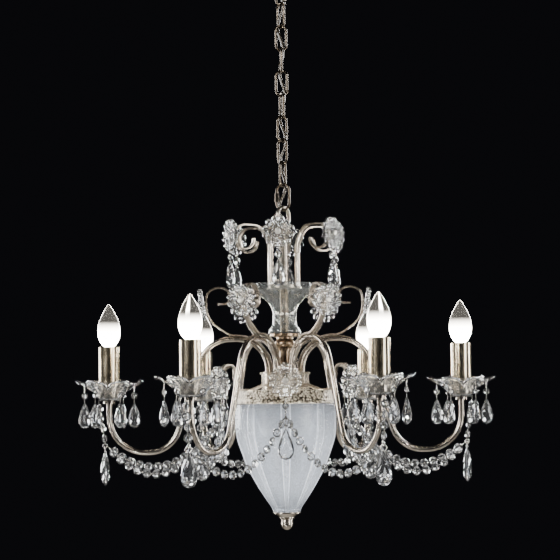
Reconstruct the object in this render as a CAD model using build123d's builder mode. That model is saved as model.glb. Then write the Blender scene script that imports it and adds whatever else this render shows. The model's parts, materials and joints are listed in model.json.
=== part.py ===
from build123d import *
from math import cos, hypot, pi, radians, sin, tan
import os

# Six-arm crystal chandelier that hangs from a ceiling rose on a short chain.
# Millimetres, +Z up.  The origin is the centre of the ceiling plate on the ceiling, so the whole
# fitting hangs towards -Z, and arm 1 points along +X.  Each piece is written to parts/ as its own STEP.

# ---------------------------------------------------------------- fits
bore_gap = 0.05                # running gap between a tube and what it passes through
face_gap = 0.3                 # gap between pieces that swing or turn past each other
hang_gap = 0.3                 # gap at a joint where one ring hangs in another

# ---------------------------------------------------------------- ceiling set
plate_length = 104.0
plate_width = 22.0
plate_thickness = 2.5
screw_spacing = 70.0
screw_hole_radius = 2.5
nipple_radius = 5.0
nipple_bore = 3.0
canopy_radius = 62.0
canopy_depth = 50.0
canopy_wall = 1.2
collar_radius = 9.0
collar_height = 14.0
canopy_ring_inner_width = 20.0
canopy_ring_inner_height = 26.4
canopy_ring_wire = 5.0
canopy_ring_azimuth = 125.0

# ---------------------------------------------------------------- chain and cable
link_inner_length = 35.7
link_inner_width = 13.3
link_wire = 3.6
link_azimuths = (35.0, 125.0, 20.0, 95.0, 5.0, 110.0, 35.0, 140.0, 60.0)
quick_link_inner_length = 36.3
quick_link_inner_width = 18.0
quick_link_wire = 4.0
quick_link_azimuth = 150.0
quick_nut_radius = 3.7
quick_nut_length = 14.0
top_ring_inner_length = 29.6
top_ring_inner_width = 24.0
top_ring_wire = 5.5
top_ring_azimuth = 55.0
cable_radius = 2.25
cable_bend = 12.0
cable_clearance = 1.5         # allows for the arc that cuts inside each corner of the route

# ---------------------------------------------------------------- centre stem
rod_radius = 4.8
rod_bore = 2.7
hub_radius = 36.5
hub_height = 24.0
hub_wall = 1.5
lid_radius = 38.8
lid_thickness = 3.0
neck_radius = 8.0
neck_height = 33.0
spacer_radius = 15.5
spacer_height = 21.0
seat_radius = 22.5
seat_height = 5.0
vase_height = 77.0
vase_foot_radius = 24.3
vase_waist_radius = 18.4
vase_rim_radius = 50.8
vase_wall = 2.4
vase_seat_depth = 2.0          # the crown plate sits this far under the rim of the vase
inner_tube_radius = 6.5
crown_plate_radius = 27.5
crown_plate_thickness = 3.0
upper_rod_length = 84.0
top_collar_radius = 7.5
top_collar_height = 14.0

# ---------------------------------------------------------------- arms and candles
arm_count = 6
arm_radius = 4.25
arm_wall = 1.0
arm_root_radius = 26.0
arm_rise = 51.5
arm_apex_radius = 120.0
arm_dip_start = 174.0
arm_dip = 120.0
candle_circle = 270.0
arm_end_drop = 45.0
arm_bends = (48.0, 50.0, 48.0, 54.0)
arm_socket_radius = 9.0
arm_socket_height = 4.0
bobeche_thickness = 2.6
bobeche_tip_radius = 52.0
bobeche_shoulder_radius = 45.0
bobeche_shoulder_angle = 19.0
bobeche_valley_radius = 32.0
bobeche_rise = 28.0
bobeche_curve = ((0, 0), (0.18, 0.38), (0.45, 0.7), (0.75, 0.9), (1, 1))   # shares out and up
bobeche_petals = 6
cup_radius = 17.5
cup_wall = 1.2
bobeche_foot_radius = cup_radius + 1.2
cup_floor = 2.0
cup_height = 26.0
sleeve_radius = 15.75
sleeve_wall = 1.2
sleeve_height = 78.0
holder_radius = 12.5
holder_bore = 7.2
holder_drop = 1.0
bulb_base_radius = 6.8
bulb_base_length = 24.0
bulb_radius = 17.5
bulb_height = 66.0

# ---------------------------------------------------------------- scrolls: flat strip bent on edge
strip_width = 9.0
strip_thickness = 2.8
crown_turn = -5.0
crown_foot_radius = 24.3
crown_reach = 83.5
crown_height = 91.0
arm_scroll_reach = 120.5
arm_scroll_rise = 79.0
gallery_reach = 110.0

# ---------------------------------------------------------------- rosettes
rosette_lobes = 12
rosette_radius = 25.0
rosette_lobe_radius = 6.0
rosette_thickness = 8.0
rosette_standoff = 0.8
rosette_bore = 1.8
rosette_lean = 8.0
bolt_radius = 1.5
bolt_cap_radius = 4.5
bolt_cap_height = 3.0
wire_radius = 0.45

# ---------------------------------------------------------------- bowl
ring_top_radius = 70.0
ring_bottom_radius = 76.4
ring_height = 20.0
ring_wall = 1.6
ring_leaves = 24
bowl_rim_radius = 76.0
bowl_side = 39.0
bowl_depth = 164.5
bowl_foot_radius = 21.0
bowl_wall = 3.0
cap_top_radius = 21.5
cap_bottom_radius = 11.5
cap_height = 9.2
finial_radius = 9.2
finial_height = 17.7
finial_bore_depth = 9.0
lamp_offset = 30.0
lamp_holder_radius = 11.0
lamp_holder_length = 30.0
lamp_radius = 13.0
lamp_length = 46.0

# ---------------------------------------------------------------- crystals: (length, width, thickness)
crown_drop_size = (41.0, 23.0, 11.0)
arm_drop_size = (50.0, 30.0, 13.0)
bowl_drop_size = (46.0, 26.0, 12.0)
bobeche_drop_size = (38.0, 21.0, 10.0)
bead_radius = 7.0
bead_thickness = 7.0
crown_bead_radius = 6.5
small_bead_radius = 5.0
bead_pitch = 15.0
bobeche_drop_circle = 38.0
arm_node_radius = 277.0
arm_node_drop = 109.0
bowl_node_radius = 112.0
bowl_node_drop = 67.0
garland_sag = 63.0
garland_wire_points = 9

# ---------------------------------------------------------------- heights that follow from the above
collar_bottom = -canopy_depth - collar_height
ring_hook_embed = 1.0
canopy_ring_bottom = collar_bottom + ring_hook_embed - canopy_ring_wire - canopy_ring_inner_height
link_pitch = link_inner_length - hang_gap
link_count = len(link_azimuths)
quick_link_pitch = quick_link_inner_length - hang_gap
top_ring_pitch = top_ring_inner_length - hang_gap
chain_bottom = canopy_ring_bottom - link_count * link_pitch
quick_link_bottom = chain_bottom - quick_link_pitch
top_ring_floor = quick_link_bottom - top_ring_pitch
rod_top = top_ring_floor - top_ring_wire + ring_hook_embed
crown_plate_top = rod_top - upper_rod_length
crown_plate_bottom = crown_plate_top - crown_plate_thickness
vase_top = crown_plate_top + vase_seat_depth
vase_bottom = vase_top - vase_height
seat_bottom = vase_bottom - seat_height
spacer_bottom = seat_bottom - spacer_height
hub_top = spacer_bottom - neck_height
hub_bottom = hub_top - lid_thickness - hub_height
candle_foot = hub_top - arm_end_drop
bobeche_bottom = candle_foot + arm_socket_height
cup_bottom = bobeche_bottom + bobeche_thickness
sleeve_bottom = cup_bottom + cup_floor
sleeve_top = sleeve_bottom + sleeve_height
ring_top = hub_bottom - 1.5
ring_bottom = ring_top - ring_height
bowl_rim = ring_bottom - 0.5
bowl_bottom = bowl_rim - bowl_depth
cap_bottom = bowl_bottom - cap_height
finial_top = cap_bottom - face_gap
rod_bottom = finial_top - finial_bore_depth + 1.5
strip_half = strip_thickness / 2
arm_azimuths = [k * 360 / arm_count for k in range(arm_count)]
crown_azimuths = [a + 180 / arm_count + crown_turn for a in arm_azimuths]
gallery_azimuths = [a + 180 / arm_count for a in arm_azimuths]


def radial_plane(azimuth):
    """The upright plane through the axis: local x runs outwards, local y runs up."""
    a = radians(azimuth)
    return Plane(origin=(0, 0, 0), x_dir=(cos(a), sin(a), 0), z_dir=(sin(a), -cos(a), 0))


def facing_plane(azimuth, radius, level, lean=0.0):
    """An upright plane that faces outwards at a radius; a positive lean tips its top outwards."""
    a = radians(azimuth)
    tip = radians(lean)
    out = (cos(a) * cos(tip), sin(a) * cos(tip), -sin(tip))
    return Plane(origin=(radius * cos(a), radius * sin(a), level), x_dir=(-sin(a), cos(a), 0), z_dir=out)


def around(azimuth, radius, level=0.0):
    """The point at an azimuth, a distance from the axis and a height."""
    return (radius * cos(radians(azimuth)), radius * sin(radians(azimuth)), level)


def save(piece, name):
    """Label a finished piece and write it as its own STEP."""
    piece.part.label = name
    export_step(piece.part, "parts/" + name + ".step")


os.makedirs("parts", exist_ok=True)

# ================================================================ ceiling set
# Flat steel plate that two screws hold to the ceiling; the nipple passes through its middle.
with BuildPart() as ceiling_bracket:
    with BuildSketch(Plane.XY.offset(-plate_thickness)):
        SlotOverall(plate_length, plate_width)
        with GridLocations(screw_spacing, 0, 2, 1):
            Circle(screw_hole_radius, mode=Mode.SUBTRACT)
        Circle(nipple_radius + bore_gap, mode=Mode.SUBTRACT)
    extrude(amount=plate_thickness)
save(ceiling_bracket, "ceiling_bracket")

# Hollow threaded tube that carries the weight and lets the cable through.
with BuildPart() as ceiling_nipple:
    with BuildSketch(Plane.XY.offset(-canopy_depth - collar_height / 2)):
        Circle(nipple_radius)
        Circle(nipple_bore, mode=Mode.SUBTRACT)
    extrude(amount=canopy_depth + collar_height / 2)
save(ceiling_nipple, "ceiling_nipple")

# Spun metal cup that hides the plate: an ogee wall that closes on a flat floor round the nipple.
with BuildPart() as canopy_cover:
    with BuildSketch(Plane.XZ):
        with BuildLine() as canopy_line:
            canopy_side = Spline(
                (canopy_radius, 0), (0.9 * canopy_radius, -0.22 * canopy_depth),
                (0.62 * canopy_radius, -0.5 * canopy_depth),
                (collar_radius + 2, canopy_wall / 2 - canopy_depth),
                tangents=((-0.1, -1), (-1, -0.15)))
            Line(canopy_side @ 1, (nipple_radius + bore_gap, canopy_wall / 2 - canopy_depth))
        trace(canopy_line.line, line_width=canopy_wall)
        with Locations((canopy_radius, -canopy_depth / 2)):
            Rectangle(2 * (canopy_radius - nipple_radius - bore_gap), canopy_depth, mode=Mode.INTERSECT)
    revolve(axis=Axis.Z)
save(canopy_cover, "canopy_cover")


def oval_ring(azimuth, floor_level, inner_length, inner_width, wire):
    """A ring of round wire bent to a stadium, upright in the plane at an azimuth."""
    middle = radial_plane(azimuth)
    reach = (inner_width + wire) / 2
    half = (inner_length + wire) / 2
    centre = floor_level + inner_length / 2
    straight = half - reach
    with BuildPart() as ring:
        with BuildLine(middle) as centre_line:
            Line((reach, centre), (reach, centre + straight))
            ThreePointArc((reach, centre + straight), (0, centre + half), (-reach, centre + straight))
            Line((-reach, centre + straight), (-reach, centre - straight))
            ThreePointArc((-reach, centre - straight), (0, centre - half), (reach, centre - straight))
            Line((reach, centre - straight), (reach, centre))
        with BuildSketch(Plane(origin=centre_line.line @ 0, z_dir=(0, 0, 1))):
            Circle(wire / 2)
        sweep(path=centre_line.wires()[0])
    return ring.part


# Turned collar that screws onto the nipple and ends in the ring that the chain hangs from.
with BuildPart() as canopy_loop:
    add(oval_ring(canopy_ring_azimuth, canopy_ring_bottom, canopy_ring_inner_height,
                  canopy_ring_inner_width, canopy_ring_wire))
    with BuildSketch(Plane.XY.offset(collar_bottom)):
        Circle(collar_radius)
    extrude(amount=collar_height)
    with BuildSketch(Plane.XY.offset(-canopy_depth)):
        Circle(nipple_radius + bore_gap)
    extrude(amount=-collar_height / 2, mode=Mode.SUBTRACT)
    with BuildSketch(Plane.XY.offset(-canopy_depth)):
        Circle(nipple_bore)
    extrude(amount=-collar_height - canopy_ring_wire, mode=Mode.SUBTRACT)
save(canopy_loop, "canopy_loop")

# ================================================================ chain
link_floors = [canopy_ring_bottom - (k + 1) * link_pitch for k in range(link_count)]

# The top link swings on the ring above it and carries the rest of the fitting.
with BuildPart() as chain_link_top:
    add(oval_ring(link_azimuths[0], link_floors[0], link_inner_length, link_inner_width, link_wire))
save(chain_link_top, "chain_link_top")

with BuildPart() as chain_links:
    for azimuth, floor_level in zip(link_azimuths[1:], link_floors[1:]):
        add(oval_ring(azimuth, floor_level, link_inner_length, link_inner_width, link_wire))
save(chain_links, "chain_links")

# Quick link: an oval of thicker wire closed by a long sleeve nut on one leg.
with BuildPart() as quick_link:
    add(oval_ring(quick_link_azimuth, quick_link_bottom, quick_link_inner_length,
                  quick_link_inner_width, quick_link_wire))
    nut_reach = (quick_link_inner_width + quick_link_wire) / 2
    nut_foot = quick_link_bottom + (quick_link_inner_length - quick_nut_length) / 2
    nut_place = around(quick_link_azimuth, nut_reach, nut_foot)
    with BuildSketch(Plane(origin=nut_place, z_dir=(0, 0, 1))):
        RegularPolygon(radius=quick_nut_radius, side_count=6)
    extrude(amount=quick_nut_length)
save(quick_link, "quick_link")

# Collar and ring at the head of the stem, bored for the cable.
with BuildPart() as top_loop:
    add(oval_ring(top_ring_azimuth, top_ring_floor, top_ring_inner_length,
                  top_ring_inner_width, top_ring_wire))
    with BuildSketch(Plane.XY.offset(rod_top - top_collar_height)):
        Circle(top_collar_radius)
    extrude(amount=top_collar_height + top_ring_wire - ring_hook_embed - 0.5)
    with BuildSketch(Plane.XY.offset(rod_top - top_collar_height)):
        Circle(rod_radius + bore_gap)
    extrude(amount=top_collar_height, mode=Mode.SUBTRACT)
    with BuildSketch(Plane.XY.offset(rod_top)):
        Circle(rod_bore)
    extrude(amount=top_ring_wire + 1, mode=Mode.SUBTRACT)
save(top_loop, "top_loop")

# ================================================================ supply cable
# At each place where two rings meet, the cable passes beside both wires, in the gap between their
# planes that lies most nearly opposite the gap it took one ring higher, so it threads every ring.
ring_azimuths = [canopy_ring_azimuth, *link_azimuths, quick_link_azimuth, top_ring_azimuth]
ring_floors = [canopy_ring_bottom, *link_floors, quick_link_bottom]
ring_wires = [canopy_ring_wire, *[link_wire] * link_count, quick_link_wire, top_ring_wire]
cable_side = 0.0
cable_points = []
for k, level in enumerate(ring_floors):
    spread = (ring_azimuths[k + 1] - ring_azimuths[k]) % 180
    gaps = [(ring_azimuths[k] + spread / 2 + 90 * turn, spread / 2 if turn % 2 == 0 else 90 - spread / 2)
            for turn in range(4)]
    cable_side, half_gap = min(gaps, key=lambda gap: cos(radians(gap[0] - cable_side)))
    wire = max(ring_wires[k], ring_wires[k + 1])
    beside = (wire / 2 + cable_radius + cable_clearance) / sin(radians(half_gap))
    cable_points.append(around(cable_side, beside, level))


def cable_tube(points):
    """A round tube along straight runs joined by tangent arcs."""
    with BuildPart() as tube:
        with BuildLine() as route:
            if len(points) > 2:
                FilletPolyline(*points, radius=cable_bend)
            else:
                Line(*points)
        with BuildSketch(Plane(origin=route.line @ 0, z_dir=route.line % 0)):
            Circle(cable_radius)
        sweep(path=route.line)
    return tube.part


def raised(point, rise):
    """The same point, higher by a distance."""
    return (point[0], point[1], point[2] + rise)


pivot_gap = 1.6
ring_entry = collar_bottom - 4.0
with BuildPart() as cable_upper:
    add(cable_tube([(0, 0, 0), (0, 0, ring_entry), raised(cable_points[0], pivot_gap)]))
save(cable_upper, "cable_upper")

with BuildPart() as cable_middle:
    add(cable_tube([raised(cable_points[0], -pivot_gap), raised(cable_points[1], pivot_gap)]))
save(cable_middle, "cable_middle")

with BuildPart() as cable_lower:
    add(cable_tube([raised(cable_points[1], -pivot_gap), *cable_points[2:], (0, 0, top_ring_floor + 8),
                    (0, 0, rod_top - 20)]))
save(cable_lower, "cable_lower")

# ================================================================ centre stem
def turned(name, outline, bore=rod_radius + bore_gap):
    """A turned piece: an outline of (radius, level) points from its foot to its head, bored for the rod."""
    with BuildPart() as piece:
        with BuildSketch(Plane.XZ):
            with BuildLine():
                Polyline((bore, outline[0][1]), *outline, (bore, outline[-1][1]), close=True)
            make_face()
        revolve(axis=Axis.Z)
    save(piece, name)


with BuildPart() as stem_rod:
    with BuildSketch(Plane.XY.offset(rod_bottom)):
        Circle(rod_radius)
        Circle(rod_bore, mode=Mode.SUBTRACT)
    extrude(amount=rod_top - rod_bottom)
save(stem_rod, "stem_rod")

# The neck tube under the spacer, the dished seat under the vase, and the tube inside the vase that
# carries the crown plate.
with BuildPart() as stem_tubes:
    with BuildSketch(Plane.XZ):
        with BuildLine():
            Polyline((rod_radius + bore_gap, seat_bottom), (0.75 * seat_radius, seat_bottom),
                     (seat_radius, seat_bottom + 1.5), (seat_radius, vase_bottom),
                     (rod_radius + bore_gap, vase_bottom), close=True)
        make_face()
    revolve(axis=Axis.Z)
    for foot, head, radius in ((hub_top, spacer_bottom, neck_radius),
                               (vase_bottom + vase_wall, crown_plate_bottom, inner_tube_radius)):
        with BuildSketch(Plane.XY.offset(foot)):
            Circle(radius)
            Circle(rod_radius + bore_gap, mode=Mode.SUBTRACT)
        extrude(amount=head - foot)
save(stem_tubes, "stem_tubes")

# Turned ball between two collars.
with BuildPart() as turned_spacer:
    ball_middle = spacer_bottom + spacer_height / 2
    neck = 0.62 * spacer_radius
    with BuildSketch(Plane.XZ):
        with BuildLine():
            Polyline((neck, spacer_bottom + 3), (0.8 * spacer_radius, spacer_bottom + 3),
                     (0.8 * spacer_radius, spacer_bottom), (rod_radius + bore_gap, spacer_bottom),
                     (rod_radius + bore_gap, seat_bottom), (0.8 * spacer_radius, seat_bottom),
                     (0.8 * spacer_radius, seat_bottom - 3), (neck, seat_bottom - 3))
            ThreePointArc((neck, seat_bottom - 3), (spacer_radius, ball_middle), (neck, spacer_bottom + 3))
        make_face()
    revolve(axis=Axis.Z)
save(turned_spacer, "turned_spacer")

turned("crown_plate", [(crown_plate_radius, crown_plate_bottom), (crown_plate_radius, crown_plate_top)])

# Blown glass vase: a waisted wall on a flat floor, open at the top.
rise = vase_height / 77
vase_shape = [(vase_foot_radius, 0), (vase_foot_radius + 0.5, 4.5), (vase_foot_radius - 1.5, 9),
              (vase_waist_radius + 1.2, 14), (vase_waist_radius, 26), (vase_waist_radius + 1.2, 37),
              (vase_waist_radius + 4.4, 44.5), (0.57 * vase_rim_radius, 52), (0.71 * vase_rim_radius, 57.5),
              (0.91 * vase_rim_radius, 65), (vase_rim_radius, 70), (vase_rim_radius, 77)]
with BuildPart() as glass_vase:
    with BuildSketch(Plane.XZ):
        with BuildLine() as vase_line:
            vase_points = [(radius - vase_wall / 2, vase_bottom + level * rise)
                           for radius, level in vase_shape]
            Spline(vase_points)
            Line(vase_points[0], (rod_radius + bore_gap, vase_bottom))
        trace(vase_line.line, line_width=vase_wall)
        with BuildLine():
            Polyline((rod_radius + bore_gap, vase_bottom), (2 * vase_rim_radius, vase_bottom),
                     (2 * vase_rim_radius, vase_top), (rod_radius + bore_gap, vase_top), close=True)
        make_face(mode=Mode.INTERSECT)
    revolve(axis=Axis.Z)
    with BuildSketch(Plane.XY.offset(vase_bottom)):
        Circle(vase_foot_radius - vase_wall)
        Circle(rod_radius + bore_gap, mode=Mode.SUBTRACT)
    extrude(amount=vase_wall)
save(glass_vase, "glass_vase")

# ================================================================ hub
with BuildPart() as hub_lid:
    with BuildSketch(Plane.XY.offset(hub_top - lid_thickness)):
        Circle(lid_radius)
        Circle(rod_radius + bore_gap, mode=Mode.SUBTRACT)
        with PolarLocations(arm_root_radius, arm_count):
            Circle(arm_radius + bore_gap, mode=Mode.SUBTRACT)
    extrude(amount=lid_thickness)
save(hub_lid, "hub_lid")

with BuildPart() as hub_drum:
    with BuildSketch(Plane.XY.offset(hub_bottom)):
        Circle(hub_radius)
        Circle(rod_radius + bore_gap, mode=Mode.SUBTRACT)
    extrude(amount=hub_height)
    with BuildSketch(Plane.XY.offset(hub_bottom + hub_wall)):
        Circle(hub_radius - hub_wall)
    extrude(amount=hub_height, mode=Mode.SUBTRACT)
save(hub_drum, "hub_drum")

# ================================================================ arms
# Each arm is one bent tube: up out of the hub, over, down, along and up to its candle.
arm_tail = hub_top - lid_thickness - 6
for number, azimuth in enumerate(arm_azimuths, start=1):
    with BuildPart() as arm:
        with BuildLine(radial_plane(azimuth)) as arm_path:
            FilletPolyline(
                (arm_root_radius, arm_tail), (arm_root_radius, hub_top + arm_rise),
                (arm_apex_radius, hub_top + arm_rise), (arm_dip_start, hub_top - arm_dip),
                (candle_circle, hub_top - arm_dip), (candle_circle, candle_foot), radius=arm_bends)
        with BuildSketch(Plane(origin=arm_path.line @ 0, z_dir=(0, 0, 1))):
            Circle(arm_radius)
            Circle(arm_radius - arm_wall, mode=Mode.SUBTRACT)
        sweep(path=arm_path.line)
        with BuildSketch(Plane(origin=around(azimuth, candle_circle, candle_foot), z_dir=(0, 0, 1))):
            Circle(arm_socket_radius)
            Circle(arm_radius - arm_wall, mode=Mode.SUBTRACT)
        extrude(amount=arm_socket_height)
    save(arm, f"arm_{number}")

# ================================================================ candles
# Six-petalled glass dish: a shell of revolution that rises steeply and flares flat, cut to broad petals.
with BuildPart() as bobeche:
    dish_span = bobeche_tip_radius - bobeche_foot_radius
    dish_wall = [(bobeche_foot_radius + out * dish_span, bobeche_bottom + up * bobeche_rise)
                 for out, up in bobeche_curve]
    with BuildSketch(Plane.XZ):
        with BuildLine():
            Polyline((arm_radius, bobeche_bottom), *dish_wall,
                     *[(radius - 0.3 * bobeche_thickness, level + bobeche_thickness)
                       for radius, level in reversed(dish_wall)],
                     (arm_radius, bobeche_bottom + bobeche_thickness), close=True)
        make_face()
    revolve(axis=Axis.Z)
    petal = ((0, bobeche_tip_radius), (bobeche_shoulder_angle, bobeche_shoulder_radius),
             (180 / bobeche_petals, bobeche_valley_radius),
             (360 / bobeche_petals - bobeche_shoulder_angle, bobeche_shoulder_radius))
    outline = [around(k * 360 / bobeche_petals + angle, radius) for k in range(bobeche_petals)
               for angle, radius in petal]
    with BuildSketch(Plane.XY.offset(bobeche_bottom - 5)):
        with BuildLine():
            Polyline(*[(x, y) for x, y, _ in outline], close=True)
        make_face()
    extrude(amount=bobeche_rise + 20, mode=Mode.INTERSECT)

candle_places = [Location(around(a, candle_circle), (0, 0, a)) for a in arm_azimuths]


def on_candles(piece, name, *extra):
    """Put a copy of a piece that was made on the Z axis on every candle, with any extra solids."""
    with BuildPart() as group:
        with Locations(*candle_places):
            add(piece.part)
        for solid in extra:
            add(solid)
    save(group, name)


on_candles(bobeche, "bobeches")

with BuildPart() as candle_cup:
    with BuildSketch(Plane.XY.offset(cup_bottom)):
        Circle(cup_radius)
        Circle(arm_radius, mode=Mode.SUBTRACT)
    extrude(amount=cup_height)
    with BuildSketch(Plane.XY.offset(sleeve_bottom)):
        Circle(cup_radius - cup_wall)
    extrude(amount=cup_height, mode=Mode.SUBTRACT)
on_candles(candle_cup, "candle_cups")

with BuildPart() as candle_sleeve:
    with BuildSketch(Plane.XY.offset(sleeve_bottom)):
        Circle(sleeve_radius)
        Circle(sleeve_radius - sleeve_wall, mode=Mode.SUBTRACT)
    extrude(amount=sleeve_height)
on_candles(candle_sleeve, "candle_sleeves")

# Plain lampholders: a tube on a floor, six in the candles and two that point down inside the bowl.
holder_top = sleeve_top - holder_drop
with BuildPart() as lampholder:
    with BuildSketch(Plane.XY.offset(sleeve_bottom)):
        Circle(holder_radius)
    extrude(amount=holder_top - sleeve_bottom)
    with BuildSketch(Plane.XY.offset(holder_top - bulb_base_length - 2)):
        Circle(holder_bore)
    extrude(amount=bulb_base_length + 2, mode=Mode.SUBTRACT)
    with BuildSketch(Plane.XY.offset(sleeve_bottom)):
        Circle(arm_radius)
    extrude(amount=holder_top - sleeve_bottom, mode=Mode.SUBTRACT)

with BuildPart() as bowl_holders:
    with BuildSketch(Plane.XY.offset(hub_bottom - lamp_holder_length)):
        with Locations((lamp_offset, 0), (-lamp_offset, 0)):
            Circle(lamp_holder_radius)
    extrude(amount=lamp_holder_length)
on_candles(lampholder, "lampholders", bowl_holders.part)

# Small lamps of the bowl, with rounded ends.
with BuildPart() as bowl_lamps:
    with BuildSketch(Plane.XY.offset(hub_bottom - lamp_holder_length - lamp_length)):
        with Locations((lamp_offset, 0), (-lamp_offset, 0)):
            Circle(lamp_radius)
    extrude(amount=lamp_length)
    fillet(bowl_lamps.faces().sort_by(Axis.Z)[0].edges() + bowl_lamps.faces().sort_by(Axis.Z)[1].edges(),
           radius=lamp_radius * 0.8)
save(bowl_lamps, "bowl_lamps")

# Candle-shaped lamp: a straight base in the holder and a pointed glass above the sleeve.
bulb_seat = sleeve_top + face_gap
with BuildPart() as bulb_shape:
    with BuildSketch(Plane.XZ):
        with BuildLine():
            Polyline((0, bulb_seat + bulb_height), (0, bulb_seat - bulb_base_length),
                     (bulb_base_radius, bulb_seat - bulb_base_length), (bulb_base_radius, bulb_seat + 1))
            Spline((bulb_base_radius, bulb_seat + 1), (0.82 * bulb_radius, bulb_seat + 0.14 * bulb_height),
                   (bulb_radius, bulb_seat + 0.37 * bulb_height),
                   (0.85 * bulb_radius, bulb_seat + 0.61 * bulb_height),
                   (0.42 * bulb_radius, bulb_seat + 0.85 * bulb_height), (0, bulb_seat + bulb_height))
        make_face()
    revolve(axis=Axis.Z)
for number, place in enumerate(candle_places, start=1):
    with BuildPart() as bulb:
        with Locations(place):
            add(bulb_shape.part)
    save(bulb, f"bulb_{number}")


# ================================================================ scrolls
def strips(name, azimuths, corners, bends):
    """Flat strips bent through (radius, level) corners in the upright plane of each azimuth."""
    with BuildPart() as group:
        for azimuth in azimuths:
            with BuildSketch(radial_plane(azimuth)):
                with BuildLine(mode=Mode.PRIVATE) as bend_line:
                    FilletPolyline(*corners, radius=bends)
                trace(bend_line.line, line_width=strip_thickness)
            extrude(amount=strip_width / 2, both=True)
    save(group, name)


crown_top = crown_plate_top + crown_height
strips("crown_scrolls", crown_azimuths,
       [(crown_foot_radius, crown_plate_top), (crown_foot_radius, crown_plate_top + 62),
        (crown_foot_radius + 14, crown_top), (crown_reach, crown_top + 1), (crown_reach, crown_top - 36.5),
        (crown_reach - 33, crown_top - 36.5), (crown_reach - 33, crown_top - 20)],
       (40, 22, 18, 17, 15))

# The arm scroll lies on the arm's inner rise, leaves it at the apex and curls over.
ride = arm_radius + bore_gap + strip_half
ride_top = hub_top + arm_rise + ride
ride_foot = arm_root_radius - ride
arm_scroll_top = hub_top + arm_scroll_rise + 52
strips("arm_scrolls", arm_azimuths,
       [(ride_foot, hub_top), (ride_foot, ride_top), (arm_root_radius + arm_bends[0] + 10, ride_top),
        (arm_scroll_reach, hub_top + arm_scroll_rise + 4), (arm_scroll_reach, arm_scroll_top),
        (arm_scroll_reach - 37, arm_scroll_top), (arm_scroll_reach - 37, arm_scroll_top - 25),
        (arm_scroll_reach - 18, arm_scroll_top - 25)],
       (arm_bends[0] + ride, 28, 42, 19, 15, 9))

# The gallery scroll runs from the drum over the gallery ring and hooks down behind its rosette.
gallery_floor = ring_top + strip_half
gallery_top = hub_top + 10.9
strips("gallery_scrolls", gallery_azimuths,
       [(hub_radius + strip_half, hub_bottom + 8.5), (0.86 * ring_top_radius, gallery_floor),
        (gallery_reach - 24, gallery_floor), (gallery_reach - 20, gallery_top),
        (gallery_reach - 1, gallery_top), (gallery_reach, gallery_top - 29)],
       (30, 10, 9, 9))

# ================================================================ rosettes and their bolts
# (azimuth, radius of the rosette's middle, level, lean), in three tiers
rosette_back = strip_half + rosette_standoff + rosette_thickness / 2
crown_rosette_level = crown_top - 16
arm_rosette_level = arm_scroll_top - 26
gallery_rosette_level = gallery_top - 26.4
rosette_places = [(a, crown_reach + rosette_back, crown_rosette_level, 0.0) for a in crown_azimuths]
rosette_places += [(a, arm_scroll_reach + rosette_back, arm_rosette_level, rosette_lean)
                   for a in arm_azimuths]
rosette_places += [(a, gallery_reach + rosette_back, gallery_rosette_level, 0.0) for a in gallery_azimuths]
rosette_edge = rosette_radius - 1.6

with BuildPart() as rosette:
    with BuildSketch(Plane.XY.offset(-rosette_thickness / 2)):
        Circle(rosette_radius - rosette_lobe_radius)
        with PolarLocations(rosette_radius - rosette_lobe_radius, rosette_lobes, 180 / rosette_lobes):
            Circle(rosette_lobe_radius)
        Circle(rosette_bore, mode=Mode.SUBTRACT)
    extrude(amount=rosette_thickness)
with BuildPart() as rosettes:
    with Locations(*[Location(facing_plane(*place)) for place in rosette_places]):
        add(rosette.part)
save(rosettes, "rosettes")

with BuildPart() as bolt:
    bolt_reach = rosette_standoff - bolt_radius * tan(radians(rosette_lean)) - bore_gap
    with BuildSketch(Plane.XY.offset(-rosette_thickness / 2 - bolt_reach)):
        Circle(bolt_radius)
    extrude(amount=rosette_thickness + bolt_reach)
    with BuildSketch(Plane.XY.offset(rosette_thickness / 2)):
        Circle(bolt_cap_radius)
    extrude(amount=bolt_cap_height)
    fillet(bolt.faces().sort_by(Axis.Z)[-1].edges(), radius=bolt_cap_height * 0.8)
with BuildPart() as rosette_bolts:
    with Locations(*[Location(facing_plane(*place)) for place in rosette_places]):
        add(bolt.part)
save(rosette_bolts, "rosette_bolts")


# ================================================================ crystals
def add_bead(place, radius):
    """An octagon bead: two cut faces that narrow from the girdle."""
    with BuildSketch(place) as face:
        RegularPolygon(radius, 8)
    extrude(face.sketch, amount=bead_thickness / 2 * radius / bead_radius, both=True, taper=35)


def add_almond(place, top, size):
    """A flat almond drop under a local height on its plane, cut back from the girdle on both faces."""
    length, width, thickness = size
    with BuildSketch(place) as face:
        with BuildLine():
            half = [(0.06, 0), (0.3, 0.16), (0.72, 0.4), (1, 0.66), (0.78, 0.88), (0.26, 1)]
            Polyline(*[(out * width / 2, top - down * length) for out, down in half],
                     *[(-out * width / 2, top - down * length) for out, down in reversed(half)], close=True)
        make_face()
    extrude(face.sketch, amount=thickness / 2, both=True, taper=38)


def add_pin(place, top, bottom, radius=wire_radius):
    """A straight wire between two local heights on an upright plane."""
    with BuildSketch(Plane(origin=place.from_local_coords((0, bottom, 0)), z_dir=(0, 0, 1))) as section:
        Circle(radius)
    extrude(section.sketch, amount=top - bottom)


def add_ring(place, radius, wire):
    """A round wire ring lying in a plane about its origin."""
    with BuildSketch(Plane(origin=place.from_local_coords((radius, 0, 0)), x_dir=place.x_dir,
                           z_dir=place.y_dir)) as section:
        Circle(wire)
    revolve(section.sketch, axis=Axis(place.origin, place.z_dir))


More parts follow.
